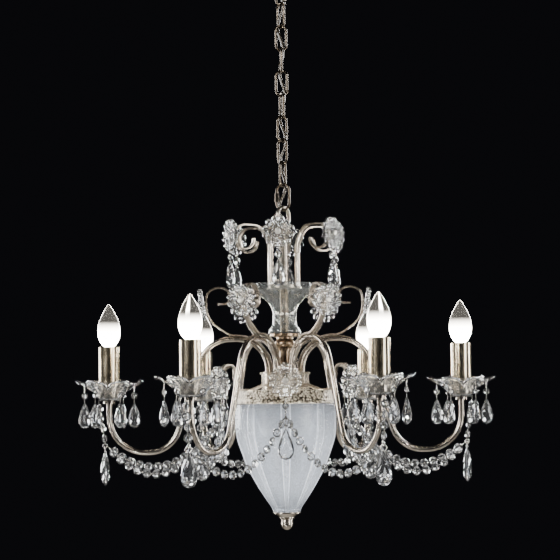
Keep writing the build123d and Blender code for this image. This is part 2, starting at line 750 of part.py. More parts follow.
def swinging_drop(name, azimuth, pivot, ring, wire, bead, size, ring_faces_out=False):
    """A drop on its own ring, hung in a fixed ring whose lowest wire is the (radius, level) pivot."""
    pivot_radius, pivot_level = pivot
    ring_middle = pivot_level + 2 * wire + hang_gap - ring
    bead_top = ring_middle - ring + wire / 2
    almond_top = bead_top - 2 * bead - 1 if bead else bead_top
    face = facing_plane(azimuth, pivot_radius, 0)
    ring_plane = facing_plane(azimuth, pivot_radius, ring_middle)
    if not ring_faces_out:
        ring_plane = Plane(origin=ring_plane.origin, x_dir=ring_plane.z_dir, z_dir=-ring_plane.x_dir)
    with BuildPart() as drop:
        add_ring(ring_plane, ring, wire)
        if bead:
            add_bead(facing_plane(azimuth, pivot_radius, bead_top - bead), bead)
            add_pin(face, bead_top - bead, almond_top - 2)
        add_almond(face, almond_top, size)
    save(drop, name)


eye_radius = 1.5
crown_pivot_radius = crown_reach + rosette_back
crown_eye_level = crown_rosette_level - rosette_edge - 0.6 * eye_radius
crown_pivot = (crown_pivot_radius, crown_eye_level - eye_radius)
node_ring = 3.0
node_wire = 0.8
arm_drop_ring = 5.0
arm_node_level = hub_top - arm_node_drop
arm_pivot = (arm_node_radius, arm_node_level - node_ring)
for number in range(1, arm_count + 1):
    swinging_drop(f"crown_drop_{number}", crown_azimuths[number - 1], crown_pivot, eye_radius, wire_radius,
                  crown_bead_radius, crown_drop_size)
    swinging_drop(f"arm_drop_{number}", arm_azimuths[number - 1], arm_pivot, arm_drop_ring, node_wire, 0,
                  arm_drop_size, ring_faces_out=True)

# Bobeche drops: a wire through each petal, a small bead and an almond.
with BuildPart() as bobeche_drop:
    hook_top = bobeche_bottom + 0.79 * bobeche_rise + bobeche_thickness + 0.4
    drop_face = facing_plane(0, bobeche_drop_circle, 0)
    add_pin(drop_face, hook_top, cup_bottom - 8, 2 * wire_radius)
    add_bead(facing_plane(0, bobeche_drop_circle, hook_top - 17), small_bead_radius)
    add_almond(drop_face, cup_bottom - 6, bobeche_drop_size)
with BuildPart() as bobeche_drops:
    for azimuth, place in zip(arm_azimuths, candle_places):
        with Locations(*[place * Location((0, 0, 0), (0, 0, k * 60)) for k in range(bobeche_petals)]):
            add(bobeche_drop.part)
save(bobeche_drops, "bobeche_drops")

# Bowl drops: a wire from the gallery rosette through a bead to the swag's inner end, then a drop.
bowl_node_level = hub_top - bowl_node_drop
with BuildPart() as bowl_drops:
    for azimuth in gallery_azimuths:
        face = facing_plane(azimuth, bowl_node_radius, 0)
        add_pin(face, gallery_rosette_level - rosette_edge + 1.5, bowl_node_level - 24, 2 * wire_radius)
        add_bead(facing_plane(azimuth, bowl_node_radius, bowl_node_level + 14), small_bead_radius)
        add_bead(facing_plane(azimuth, bowl_node_radius, bowl_node_level - 10), bead_radius)
        add_almond(face, bowl_node_level - 20, bowl_drop_size)
save(bowl_drops, "bowl_drops")


# Swags: wires that hang from each arm node to the two nearest bowl nodes, strung with beads.
def swag_points(azimuth, side, count):
    """Points at equal spacing along a hanging wire, from an arm node to a bowl node."""
    start = around(azimuth, arm_node_radius - node_ring, arm_node_level)
    end = around(azimuth + side * 180 / arm_count, bowl_node_radius, bowl_node_level)
    fine = 240
    curve = [tuple(s + (e - s) * t / fine for s, e in zip(start, end)) for t in range(fine + 1)]
    curve = [(x, y, z - 4 * garland_sag * (t / fine) * (1 - t / fine)) for t, (x, y, z) in enumerate(curve)]
    lengths = [0.0]
    for a, b in zip(curve, curve[1:]):
        lengths.append(lengths[-1] + hypot(b[0] - a[0], b[1] - a[1], b[2] - a[2]))
    picked = [min(range(fine + 1), key=lambda t: abs(lengths[t] - lengths[-1] * k / (count - 1)))
              for k in range(count)]
    return [curve[t] for t in picked], lengths[-1]


def bead_plane(before, here, after):
    """The plane of a bead on a wire: it holds the wire's direction and faces sideways."""
    along = Vector(*after) - Vector(*before)
    return Plane(origin=here, x_dir=along, z_dir=along.cross(Vector(0, 0, 1)))


with BuildPart() as plain_bead:
    with BuildSketch(Plane.XZ):
        with BuildLine():
            Polyline((0, bead_thickness / 2), (bead_radius - 3, bead_thickness / 2), (bead_radius, 0),
                     (bead_radius - 3, -bead_thickness / 2), (0, -bead_thickness / 2), close=True)
        make_face()
    revolve(axis=Axis.Z)

swag_length = swag_points(0, 1, 2)[1]
swag_beads = int((swag_length - bead_pitch) // bead_pitch)
strand_top = (candle_circle + 15, bobeche_bottom - 4)
strand_length = hypot(arm_node_radius - strand_top[0], arm_node_level - strand_top[1])
strand_beads = int((strand_length - 4) // bead_pitch)
bead_places = []
for azimuth in arm_azimuths:
    for side in (-1, 1):
        points = swag_points(azimuth, side, 2 * swag_beads + 3)[0]
        bead_places += [bead_plane(*points[k - 1:k + 2]) for k in range(2, 2 * swag_beads + 1, 2)]
    for k in range(strand_beads):
        share = (k + 0.5) / strand_beads
        bead_places.append(facing_plane(
            azimuth, strand_top[0] + share * (arm_node_radius - strand_top[0]),
            strand_top[1] + share * (arm_node_level + node_ring - strand_top[1])))
with BuildPart() as garland_beads:
    with Locations(*[Location(place) for place in bead_places]):
        add(plain_bead.part)
save(garland_beads, "garland_beads")

# Trim wires: the eyes under the crown rosettes, the rings at the arm nodes, the strands and swag wires.
with BuildPart() as trim_wires:
    for azimuth in crown_azimuths:
        add_ring(facing_plane(azimuth, crown_pivot_radius, crown_eye_level), eye_radius, wire_radius)
    for azimuth in arm_azimuths:
        node = facing_plane(azimuth, arm_node_radius, arm_node_level)
        add_ring(Plane(origin=node.origin, x_dir=node.z_dir, z_dir=-node.x_dir), node_ring, node_wire)
        with BuildLine(radial_plane(azimuth)) as strand:
            Line(strand_top, (arm_node_radius, arm_node_level + node_ring))
        with BuildSketch(Plane(origin=strand.line @ 0, z_dir=strand.line % 0)):
            Circle(2 * wire_radius)
        sweep(path=strand.line)
        for side in (-1, 1):
            with BuildLine() as swag:
                swag_route = swag_points(azimuth, side, garland_wire_points)[0]
                FilletPolyline(*swag_route, radius=25)
            with BuildSketch(Plane(origin=swag.line @ 0, z_dir=swag.line % 0)):
                Circle(2 * wire_radius)
            sweep(path=swag.line)
save(trim_wires, "trim_wires")

# ================================================================ gallery ring and bowl
# Pierced band with a scalloped lower edge.
with BuildPart() as gallery_ring:
    with BuildSketch(Plane.XZ):
        with BuildLine():
            Polyline((ring_top_radius - ring_wall, ring_top), (ring_top_radius, ring_top),
                     (ring_bottom_radius, ring_bottom), (ring_bottom_radius - ring_wall, ring_bottom),
                     close=True)
        make_face()
    revolve(axis=Axis.Z)
    for k in range(ring_leaves):
        azimuth = (k + 0.5) * 360 / ring_leaves
        leaf_width = 2 * pi * ring_top_radius / ring_leaves
        with BuildSketch(facing_plane(azimuth, ring_top_radius - 8, ring_top - 0.45 * ring_height)):
            Ellipse(0.3 * leaf_width, 0.27 * ring_height)
        extrude(amount=24, mode=Mode.SUBTRACT)
        with BuildSketch(facing_plane(azimuth + 180 / ring_leaves, ring_top_radius - 8, ring_bottom)):
            Circle(0.16 * leaf_width)
        extrude(amount=24, mode=Mode.SUBTRACT)
save(gallery_ring, "gallery_ring")

# Ribbed glass bowl: a straight rim band over a round body that narrows to a flat foot.
bowl_shape = [(1, 0), (0.974, 0.1), (0.925, 0.2), (0.852, 0.323), (0.774, 0.45), (0.67, 0.57),
              (0.556, 0.695), (0.428, 0.82), (bowl_foot_radius / bowl_rim_radius, 0.94)]
bowl_body = bowl_depth - bowl_side
with BuildPart() as bowl_glass:
    with BuildSketch(Plane.XZ):
        with BuildLine() as bowl_line:
            wall_middle = bowl_wall / 2
            body_top = bowl_rim - bowl_side
            Line((bowl_rim_radius - wall_middle, bowl_rim), (bowl_rim_radius - wall_middle, body_top))
            Spline(*[(share * bowl_rim_radius - wall_middle, body_top - down * bowl_body)
                     for share, down in bowl_shape], tangents=((0, -1), (-0.9, -1)))
        trace(bowl_line.line, line_width=bowl_wall)
    revolve(axis=Axis.Z)
    with BuildSketch(Plane.XY.offset(bowl_bottom)):
        Circle(bowl_foot_radius - 0.5)
        Circle(rod_radius + bore_gap, mode=Mode.SUBTRACT)
    extrude(amount=0.07 * bowl_body + 1)
save(bowl_glass, "bowl_glass")

turned("bowl_cap", [(cap_bottom_radius, cap_bottom), (cap_bottom_radius, cap_bottom + 1.5),
                    (0.8 * cap_top_radius, bowl_bottom - 2.5), (cap_top_radius, bowl_bottom - 1.5),
                    (cap_top_radius, bowl_bottom)])

# Turned finial that screws onto the rod's lower end and holds the bowl up.
with BuildPart() as finial:
    with BuildSketch(Plane.XZ):
        with BuildLine():
            finial_bottom = finial_top - finial_height
            bore = rod_radius + bore_gap
            tip = 0.15 * finial_radius
            Polyline((tip, finial_bottom), (0, finial_bottom), (0, finial_top - finial_bore_depth),
                     (bore, finial_top - finial_bore_depth), (bore, finial_top),
                     (finial_radius * 0.9, finial_top),
                     (finial_radius, finial_top - 1.5), (finial_radius, finial_top - 0.4 * finial_height))
            ThreePointArc((finial_radius, finial_top - 0.4 * finial_height),
                          (0.8 * finial_radius, finial_top - 0.8 * finial_height), (tip, finial_bottom))
        make_face()
    revolve(axis=Axis.Z)
save(finial, "finial")

print("cable: radius", cable_radius, "mm, bent round", cable_bend, "mm")
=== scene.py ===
import json

import bmesh
import bpy
import numpy as np
from mathutils import Matrix, Vector


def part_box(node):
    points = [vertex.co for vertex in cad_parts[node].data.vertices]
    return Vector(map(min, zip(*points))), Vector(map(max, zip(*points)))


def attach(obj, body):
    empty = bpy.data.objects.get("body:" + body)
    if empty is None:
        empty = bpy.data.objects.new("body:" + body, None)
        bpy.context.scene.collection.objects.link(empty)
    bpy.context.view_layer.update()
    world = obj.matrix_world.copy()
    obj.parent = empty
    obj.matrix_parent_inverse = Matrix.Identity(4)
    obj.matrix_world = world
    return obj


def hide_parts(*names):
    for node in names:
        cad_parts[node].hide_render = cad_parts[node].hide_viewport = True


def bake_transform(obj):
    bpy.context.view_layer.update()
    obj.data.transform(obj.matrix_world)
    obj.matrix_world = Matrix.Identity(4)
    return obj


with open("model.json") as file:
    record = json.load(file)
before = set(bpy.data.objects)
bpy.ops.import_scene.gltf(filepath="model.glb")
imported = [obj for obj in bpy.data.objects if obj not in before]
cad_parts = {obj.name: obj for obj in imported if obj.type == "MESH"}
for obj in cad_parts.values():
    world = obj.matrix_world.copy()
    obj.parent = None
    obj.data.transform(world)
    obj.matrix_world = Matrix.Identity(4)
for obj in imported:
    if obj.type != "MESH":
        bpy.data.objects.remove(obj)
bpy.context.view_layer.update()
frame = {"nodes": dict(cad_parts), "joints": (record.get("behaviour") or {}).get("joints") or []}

# ---------------------------------------------------------------- ceiling set
# A steel plate on the ceiling, a hollow nipple, a spun cup that hides them and a turned collar with the
# ring that the chain hangs from.  Pressed and spun steel, nickel-silver plated, then rubbed to a satin.


def linear(hex_colour):
    """An sRGB hex colour as linear red, green, blue and alpha."""
    parts = np.array([int(hex_colour[k:k + 2], 16) / 255 for k in (1, 3, 5)])
    low = parts <= 0.04045
    return (*np.where(low, parts / 12.92, ((parts + 0.055) / 1.055) ** 2.4), 1.0)


def add_node(tree, kind, inputs=None, **settings):
    """Add one shader node; an input's value is a number, a colour or another node's output."""
    new = tree.nodes.new(kind)
    for key, value in settings.items():
        setattr(new, key, value)
    for key, value in (inputs or {}).items():
        if isinstance(value, bpy.types.NodeSocket):
            tree.links.new(value, new.inputs[key])
        else:
            new.inputs[key].default_value = value
    return new


def new_material(name):
    """An empty node material and its tree."""
    material = bpy.data.materials.new(name)
    material.use_nodes = True
    material.node_tree.nodes.clear()
    return material, material.node_tree


def satin_plate(name, bright, tarnish, roughness, blotch_mm, stroke=(1, 1, 1)):
    """Plated metal: tarnish in soft blotches, and fine rubbing strokes in roughness and bump."""
    material, tree = new_material(name)
    place = add_node(tree, "ShaderNodeTexCoord").outputs["Object"]
    blotch = add_node(tree, "ShaderNodeTexNoise", {"Vector": place, "Scale": 1000 / blotch_mm, "Detail": 5,
                                                   "Roughness": 0.62})
    colour = add_node(tree, "ShaderNodeValToRGB", {"Fac": blotch.outputs["Fac"]})
    colour.color_ramp.elements[0].position, colour.color_ramp.elements[0].color = 0.36, linear(tarnish)
    colour.color_ramp.elements[1].position, colour.color_ramp.elements[1].color = 0.62, linear(bright)
    stretched = add_node(tree, "ShaderNodeMapping", {"Vector": place, "Scale": stroke})
    strokes = add_node(tree, "ShaderNodeTexNoise", {"Vector": stretched.outputs[0], "Scale": 1400, "Detail": 3})
    rough = add_node(tree, "ShaderNodeMapRange", {
        "Value": strokes.outputs["Fac"], "From Min": 0.3, "From Max": 0.7,
        "To Min": roughness - 0.07, "To Max": roughness + 0.09})
    bump = add_node(tree, "ShaderNodeBump", {"Height": strokes.outputs["Fac"], "Strength": 0.12,
                                             "Distance": 0.0004})
    metal = add_node(tree, "ShaderNodeBsdfPrincipled", {
        "Base Color": colour.outputs["Color"], "Metallic": 1.0, "Roughness": rough.outputs["Result"],
        "Normal": bump.outputs["Normal"]})
    add_node(tree, "ShaderNodeOutputMaterial", {"Surface": metal.outputs[0]})
    return material


def finish_nodes(material, *names):
    """Give CAD pieces whose shape is already right their finish."""
    for name in names:
        frame["nodes"][name].data.materials.clear()
        frame["nodes"][name].data.materials.append(material)


antique_silver = satin_plate("antique_silver_plate", "#C0B6A8", "#988D7E", 0.24, 26)
zinc_steel = satin_plate("zinc_plated_steel", "#BFC0BE", "#8E8F8E", 0.38, 22)
finish_nodes(zinc_steel, "ceiling_bracket", "ceiling_nipple")
finish_nodes(antique_silver, "canopy_cover", "canopy_loop")

# ---------------------------------------------------------------- chain
# Nine links of bent and butt-welded wire, a quick link with a sleeve nut, and the ring at the head of
# the stem.  A darker, more bronze plate than the arms, on drawn steel wire.
chain_plate = satin_plate("chain_bronze_plate", "#6B6155", "#453D34", 0.24, 9)
finish_nodes(chain_plate, "chain_link_top", "chain_links", "quick_link")
finish_nodes(antique_silver, "top_loop")


# ---------------------------------------------------------------- supply cable
# A round flexible cable that weaves through the links, from the ceiling to the bored head of the stem.
# Clear sheath over dull twisted cores.
def smoothed(points, rounds=3):
    """Chaikin's corner cutting: each round puts two points at a quarter and three quarters of a run."""
    for _ in range(rounds):
        start, end = points[:-1], points[1:]
        cut = np.stack([0.75 * start + 0.25 * end, 0.25 * start + 0.75 * end], axis=1).reshape(-1, 3)
        points = np.vstack([points[:1], cut, points[-1:]])
    return points


def path_frames(path, up=(0.0, 0.0, 1.0)):
    """Along, side and lift directions at each point: side is along x up, lift is side x along."""
    along = np.gradient(path, axis=0)
    along /= np.linalg.norm(along, axis=1, keepdims=True)
    side = np.cross(along, up)
    side /= np.maximum(np.linalg.norm(side, axis=1, keepdims=True), 1e-9)
    return along, side, np.cross(side, along)


def grid_faces(rows, columns, wrap):
    """Quads of a grid of points in rows; wrap joins the last column to the first."""
    r, c = np.meshgrid(np.arange(rows - 1), np.arange(columns if wrap else columns - 1), indexing="ij")
    after = (c + 1) % columns
    quads = np.stack([r * columns + c, r * columns + after, (r + 1) * columns + after, (r + 1) * columns + c], -1)
    return quads.reshape(-1, 4)


def capped_faces(rows, columns):
    """Quads of a wrapped grid, with one face over its first row and one over its last."""
    ends = [list(range(columns)), list(range((rows - 1) * columns, rows * columns))]
    return grid_faces(rows, columns, True).tolist() + ends


def make_piece(name, points, faces, material, body, slot, smooth=True):
    """A mesh object from points and faces, with its normals turned outwards.  It rides on a body, or on none."""
    mesh = bpy.data.meshes.new(name)
    mesh.from_pydata(np.asarray(points).reshape(-1, 3).tolist(), [], [list(map(int, f)) for f in faces])
    mesh.materials.append(material)
    mesh.polygons.foreach_set("use_smooth", [smooth] * len(mesh.polygons))
    piece = bpy.data.objects.new(name, mesh)
    bpy.context.scene.collection.objects.link(piece)
    shape = bmesh.new()
    shape.from_mesh(mesh)
    bmesh.ops.recalc_face_normals(shape, faces=shape.faces)
    shape.to_mesh(mesh)
    shape.free()
    if body:
        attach(piece, body)
    return piece


def tube(path, radius, sides=12, up=(0.0, 0.0, 1.0)):
    """A round tube: each path point plus radius x (cos side + sin lift), with a closing face at each end."""
    _, side, lift = path_frames(path, up)
    turn = np.arange(sides) * 2 * np.pi / sides
    rings = (path[:, None] + np.asarray(radius).reshape(-1, 1, 1) *
             (np.cos(turn)[:, None] * side[:, None] + np.sin(turn)[:, None] * lift[:, None]))
    return rings.reshape(-1, 3), capped_faces(len(path), sides)


sheath, tree = new_material("clear_silver_cable_sheath")
place = add_node(tree, "ShaderNodeTexCoord").outputs["Object"]
twist = add_node(tree, "ShaderNodeTexWave", {"Vector": place, "Scale": 90.0}, bands_direction="DIAGONAL")
cores = add_node(tree, "ShaderNodeValToRGB", {"Fac": twist.outputs["Fac"]})
cores.color_ramp.elements[0].color, cores.color_ramp.elements[1].color = linear("#2E2922"), linear("#5A5144")
skin = add_node(tree, "ShaderNodeBsdfPrincipled", {"Base Color": cores.outputs["Color"], "Roughness": 0.22,
                                                   "Metallic": 0.35, "Coat Weight": 0.6})
add_node(tree, "ShaderNodeOutputMaterial", {"Surface": skin.outputs[0]})

cable_radius = 0.00225
ring_azimuths = (125, 35, 125, 20, 95, 5, 110, 35, 140, 60, 150, 55)
ring_wires = (0.005,) + (0.0036,) * 9 + (0.004, 0.0055)
top_junction = -0.0944
link_pitch = 0.0354
cable_route = [(0, 0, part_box("cable_upper")[1][2]), (0, 0, -0.068)]
side = 0.0
for k in range(11):
    spread = (ring_azimuths[k + 1] - ring_azimuths[k]) % 180
    gaps = [(ring_azimuths[k] + spread / 2 + 90 * turn, spread / 2 if turn % 2 == 0 else 90 - spread / 2)
            for turn in range(4)]
    side, half_gap = min(gaps, key=lambda gap: np.cos(np.radians(gap[0] - side)))
    beside = (max(ring_wires[k:k + 2]) / 2 + cable_radius + 0.0015) / np.sin(np.radians(half_gap))
    level = top_junction - k * link_pitch - (0.0006 if k == 10 else 0)
    cable_route.append((beside * np.cos(np.radians(side)), beside * np.sin(np.radians(side)), level))
stem_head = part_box("stem_rod")[1][2]
cable_route += [(0, 0, stem_head + 0.012), (0, 0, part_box("cable_lower")[0][2])]
route = smoothed(np.array(cable_route, dtype=float))
link_middle = top_junction - link_pitch / 2
for name, part, joined, swing, nodes in (
        ("cable_above", route[route[:, 2] >= link_middle], ("ceiling", "top_link"), top_junction,
         ("cable_upper",)),
        ("cable_below", route[route[:, 2] <= link_middle + 0.0001], ("top_link", "fitting"),
         top_junction - link_pitch, ("cable_middle", "cable_lower"))):
    points, faces = tube(part, cable_radius, 14, up=(0.0, 1.0, 0.0))
    cable = make_piece(name, points, faces, sheath, None, "cable_sheath")
    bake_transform(cable)
    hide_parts(*nodes)

# ---------------------------------------------------------------- centre stem and hub
# An upright tube threaded through turned spacers, with the crown plate above the vase and a drum below
# that the arms enter.  The tubes and the ball are dull bronze; the drum and lid match the arms.
hub_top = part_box("hub_lid")[1][2]
bronze = satin_plate("dull_bronze_plate", "#A8937C", "#75634F", 0.26, 14, stroke=(1, 1, 0.08))
finish_nodes(antique_silver, "stem_rod", "crown_plate", "hub_lid", "hub_drum")
finish_nodes(bronze, "stem_tubes", "turned_spacer")

# ---------------------------------------------------------------- arms
# Six drawn tubes bent to a double curve, from the drum down and up to the candles.  Silver plate a little
# lighter than the scrolls', rubbed to a satin.
arm_plate = satin_plate("arm_silver_plate", "#C8BFB1", "#A1968A", 0.2, 30)
finish_nodes(arm_plate, *[f"arm_{k}" for k in range(1, 7)])


# ---------------------------------------------------------------- scrolls
# Flat strip with rounded edges and a groove rolled down its middle, bent on the flat into open curls.
# Three tiers: the crown, one on every arm, and the gallery between the drum and the bowl's ring.
def bent_line(corners, radii, step=0.0018):
    """Straight runs joined by arcs: each arc meets both runs at radius x tan(half the turn)."""
    corners = np.array(corners, dtype=float)
    line = [corners[0]]
    for before, here, after, radius in zip(corners[:-2], corners[1:-1], corners[2:], radii):
        into, out = (here - before) / np.linalg.norm(here - before), (after - here) / np.linalg.norm(after - here)
        turn = np.arccos(np.clip(into @ out, -1, 1))
        handed = np.sign(into[0] * out[1] - into[1] * out[0])
        start = here - into * radius * np.tan(turn / 2)
        normal = np.array([-into[1], into[0]]) * handed
        angle = np.linspace(0, turn, max(4, int(radius * turn / step)))[:, None]
        line.extend(start + radius * (np.sin(angle) * into + (1 - np.cos(angle)) * normal))
    line.append(corners[-1])
    line = np.array(line)
    keep = np.r_[True, np.linalg.norm(np.diff(line, axis=0), axis=1) > 1e-6]
    return line[keep]


def standing(line, azimuth):
    """Points (radius, level) of an upright plane at an azimuth, in space."""
    a = np.radians(azimuth)
    return np.stack([line[:, 0] * np.cos(a), line[:, 0] * np.sin(a), line[:, 1]], axis=-1)


strip_width, strip_thickness = 0.009, 0.0028
strip_section = np.array([(-0.5, -0.32), (-0.43, -0.5), (0.43, -0.5), (0.5, -0.32), (0.5, 0.32), (0.43, 0.5),
                          (0.2, 0.5), (0.1, 0.22), (-0.1, 0.22), (-0.2, 0.5), (-0.43, 0.5), (-0.5, 0.32)])


def together(*shapes):
    """Several shapes as one list of points and faces."""
    points, faces, offset = [], [], 0
    for shape_points, shape_faces in shapes:
        points.append(np.asarray(shape_points))
        faces += [[index + offset for index in face] for face in shape_faces]
        offset += len(shape_points)
    return np.vstack(points), faces


def strip_scrolls(name, node, azimuths, corners, radii, groove):
    """Copies of one strip: its section, across by tangent and thick by normal, swept along a bent line."""
    line = bent_line(corners, radii)
    slope = np.gradient(line, axis=0)
    slope /= np.linalg.norm(slope, axis=1, keepdims=True)
    thick = groove * np.stack([-slope[:, 1], slope[:, 0]], axis=1)
    strips = []
    for azimuth in azimuths:
        a = np.radians(azimuth)
        across = np.array([-np.sin(a), np.cos(a), 0]) * strip_width
        centre = standing(line, azimuth)
        lift = standing(thick, azimuth) * strip_thickness
        rings = (centre[:, None] + strip_section[:, :1] * across + strip_section[:, 1:] * lift[:, None])
        strips.append((rings.reshape(-1, 3), capped_faces(len(line), len(strip_section))))
    piece = make_piece(name, *together(*strips), antique_silver, "fitting", "antique_silver")
    piece.data.set_sharp_from_angle(angle=np.radians(40))
    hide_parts(node)


arm_azimuths = np.arange(6) * 60.0
crown_azimuths = arm_azimuths + 25
gallery_azimuths = arm_azimuths + 30
plate_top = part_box("crown_plate")[1][2]
crown_top = plate_top + 0.091
strip_scrolls("crown_scroll_strips", "crown_scrolls", crown_azimuths,
              [(0.0243, plate_top), (0.0243, plate_top + 0.062), (0.0383, crown_top), (0.0835, crown_top + 0.001),
               (0.0835, crown_top - 0.0365), (0.0505, crown_top - 0.0365), (0.0505, crown_top - 0.02)],
              (0.040, 0.022, 0.018, 0.017, 0.015), 1)
arm_scroll_top = hub_top + 0.131
strip_scrolls("arm_scroll_strips", "arm_scrolls", arm_azimuths,
              [(0.0203, hub_top), (0.0203, hub_top + 0.0572), (0.084, hub_top + 0.0572),
               (0.1205, hub_top + 0.083), (0.1205, arm_scroll_top), (0.0835, arm_scroll_top),
               (0.0835, arm_scroll_top - 0.025), (0.1025, arm_scroll_top - 0.025)],
              (0.0537, 0.028, 0.042, 0.019, 0.015, 0.009), 1)
ring_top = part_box("gallery_ring")[1][2]
gallery_top = hub_top + 0.0109
strip_scrolls("gallery_scroll_strips", "gallery_scrolls", gallery_azimuths,
              [(0.0379, hub_top - 0.0185), (0.0602, ring_top + 0.0014), (0.086, ring_top + 0.0014),
               (0.090, gallery_top), (0.109, gallery_top), (0.110, gallery_top - 0.029)],
              (0.030, 0.010, 0.009, 0.009), 1)


# ---------------------------------------------------------------- cut and pressed crystal
# Clear lead-free crystal, cut or pressed and fire polished.  Nearly all light passes through it, and flat
# facets throw small hard highlights.
def crystal_glass(name, tint, roughness, clearness, ripple_mm=0, ripple=0.0):
    """Glass: clearness is the share of light that passes through, and a ripple gives a faint bump."""
    material, tree = new_material(name)
    settings = {"Base Color": linear(tint), "Roughness": roughness, "IOR": 1.54, "Transmission Weight": clearness,
                "Specular IOR Level": 0.6}
    if ripple_mm:
        place = add_node(tree, "ShaderNodeTexCoord").outputs["Object"]
        wave = add_node(tree, "ShaderNodeTexNoise", {"Vector": place, "Scale": 1000 / ripple_mm, "Detail": 2})
        bump = add_node(tree, "ShaderNodeBump", {"Height": wave.outputs["Fac"], "Strength": ripple,
                                                 "Distance": 0.001})
        settings["Normal"] = bump.outputs["Normal"]
    glass = add_node(tree, "ShaderNodeBsdfPrincipled", settings)
    add_node(tree, "ShaderNodeOutputMaterial", {"Surface": glass.outputs[0]})
    return material


cut_crystal = crystal_glass("cut_crystal", "#FBFCFD", 0.0, 0.97)
pressed_crystal = crystal_glass("pressed_crystal", "#FAFCFC", 0.0, 0.99)


def almond(length, width, thickness, count=14):
    """A faceted almond hanging from its tip at the origin: pear rings, half width
    sin(angle) x (0.3 + 0.7 x fall), from a table on each face out to the girdle, in x and z."""
    middle, widest = 0.62, 0.79
    rings = []
    for scale, depth, twist in ((0.38, -0.5, 0), (0.72, -0.36, 0.5), (1, -0.07, 0), (1, 0.07, 0),
                                (0.72, 0.36, 0.5), (0.38, 0.5, 0)):
        angle = (np.arange(count) + twist) * 2 * np.pi / count
        fall = (1 - np.cos(angle)) / 2
        half = np.sin(angle) * (0.3 + 0.7 * fall)
        half *= 0.5 / widest
        rings.append(np.stack([half * width * scale, np.full(count, depth * thickness),
                               -(middle + (fall - middle) * scale) * length], axis=-1))
    return np.vstack(rings), capped_faces(len(rings), count)


def octagon_bead(radius, thickness):
    """An octagon bead about the origin, facing y: a small table, a twisted crown ring and a girdle."""
    rings = []
    for scale, depth, twist in ((0.45, -0.5, 0.5), (1, -0.08, 0), (1, 0.08, 0), (0.45, 0.5, 0.5)):
        angle = (np.arange(8) + twist + 0.5) * np.pi / 4
        rings.append(np.stack([radius * scale * np.cos(angle), np.full(8, depth * thickness),
                               radius * scale * np.sin(angle)], axis=-1))
    return np.vstack(rings), capped_faces(4, 8)


def ring_shape(radius, wire, sides=8, around=18):
    """A wire ring about the origin, facing y: (radius + wire cos b) turned through a full circle."""
    turn = np.arange(around)[:, None] * 2 * np.pi / around
    roll = np.arange(sides)[None] * 2 * np.pi / sides
    reach = radius + wire * np.cos(roll)
    points = np.stack([reach * np.cos(turn), np.broadcast_to(wire * np.sin(roll), (around, sides)),
                       reach * np.sin(turn)], axis=-1)
    r, c = np.meshgrid(np.arange(around), np.arange(sides), indexing="ij")
    nr, nc = (r + 1) % around, (c + 1) % sides
    faces = np.stack([r * sides + c, r * sides + nc, nr * sides + nc, nr * sides + c], -1).reshape(-1, 4)
    return points.reshape(-1, 3), faces.tolist()


def copies(shape, placements):
    """One shape at many places, each a 3x3 of directions (rows x, y, z) and a point."""
    points, faces = shape
    all_points = np.vstack([points @ np.array(axes) + np.array(at) for axes, at in placements])
    count = len(points)
    all_faces = [[index + k * count for index in face] for k in range(len(placements)) for face in faces]
    return all_points, all_faces


def upright(azimuth, radius, level, lean=0.0, spin=0.0):
    """The place of a shape that faces outwards at an azimuth: x along the tangent, y outwards, z up."""
    a, tip, s = np.radians(azimuth), np.radians(lean), np.radians(spin)
    tangent = np.array([-np.sin(a), np.cos(a), 0])
    out = np.array([np.cos(a) * np.cos(tip), np.sin(a) * np.cos(tip), -np.sin(tip)])
    up = np.cross(tangent, -out)
    tangent, out = np.cos(s) * tangent + np.sin(s) * out, np.cos(s) * out - np.sin(s) * tangent
    return (tangent, out, up), (radius * np.cos(a), radius * np.sin(a), level)


def sideways(azimuth, radius, level):
    """The place of a shape that faces along the tangent."""
    return upright(azimuth, radius, level, spin=90)


# ---------------------------------------------------------------- rosettes
# Eighteen daisies of pressed crystal, with twelve round-ended petals that are finely ribbed.  Each is
# bolted flat to a scroll.
def daisy(radius=0.025, thickness=0.008, bore=0.0018, petals=12, columns=192):
    """Petal edge: radius less a notch where |cos(6 angle)| falls; every petal domes across its width and
    swells to a round bead at its end; the rows run over the front, round the rim and back over the rear."""
    angle = (np.arange(columns) + 0.5) * 2 * np.pi / columns
    petal = np.abs(np.cos(petals / 2 * (angle - np.pi / petals))) ** 0.6
    ribs = np.cos(4 * petals * (angle - np.pi / petals))
    rows = []
    for out, dome, face in ((0, 0.46, 1), (0.1, 0.5, 1), (0.17, 0.34, 1), (0.28, 0.44, 1), (0.42, 0.5, 1),
                            (0.56, 0.46, 1), (0.68, 0.34, 1), (0.74, 0.28, 1), (0.8, 0.42, 1), (0.87, 0.52, 1),
                            (0.94, 0.46, 1), (0.98, 0.3, 1), (1, 0, 1), (0.97, -0.28, 1), (0.86, 0.46, -1),
                            (0.72, 0.3, -1), (0.5, 0.46, -1), (0.2, 0.4, -1), (0, 0.4, -1)):
        edge = radius * (1 - 0.24 * (1 - petal) * out ** 2)
        reach = bore + (edge - bore) * out
        swell = 1 - (1 - petal) * min(1, 1.1 * out) * 0.85
        height = face * dome * thickness * swell
        if 0.2 < out < 0.8:
            height = height + face * 0.00035 * ribs * (0.3 + petal)
        rows.append(np.stack([reach * np.cos(angle), height * np.ones(columns), reach * np.sin(angle)], axis=-1))
    rows.append(rows[0])
    return np.vstack(rows), grid_faces(len(rows), columns, True).tolist()


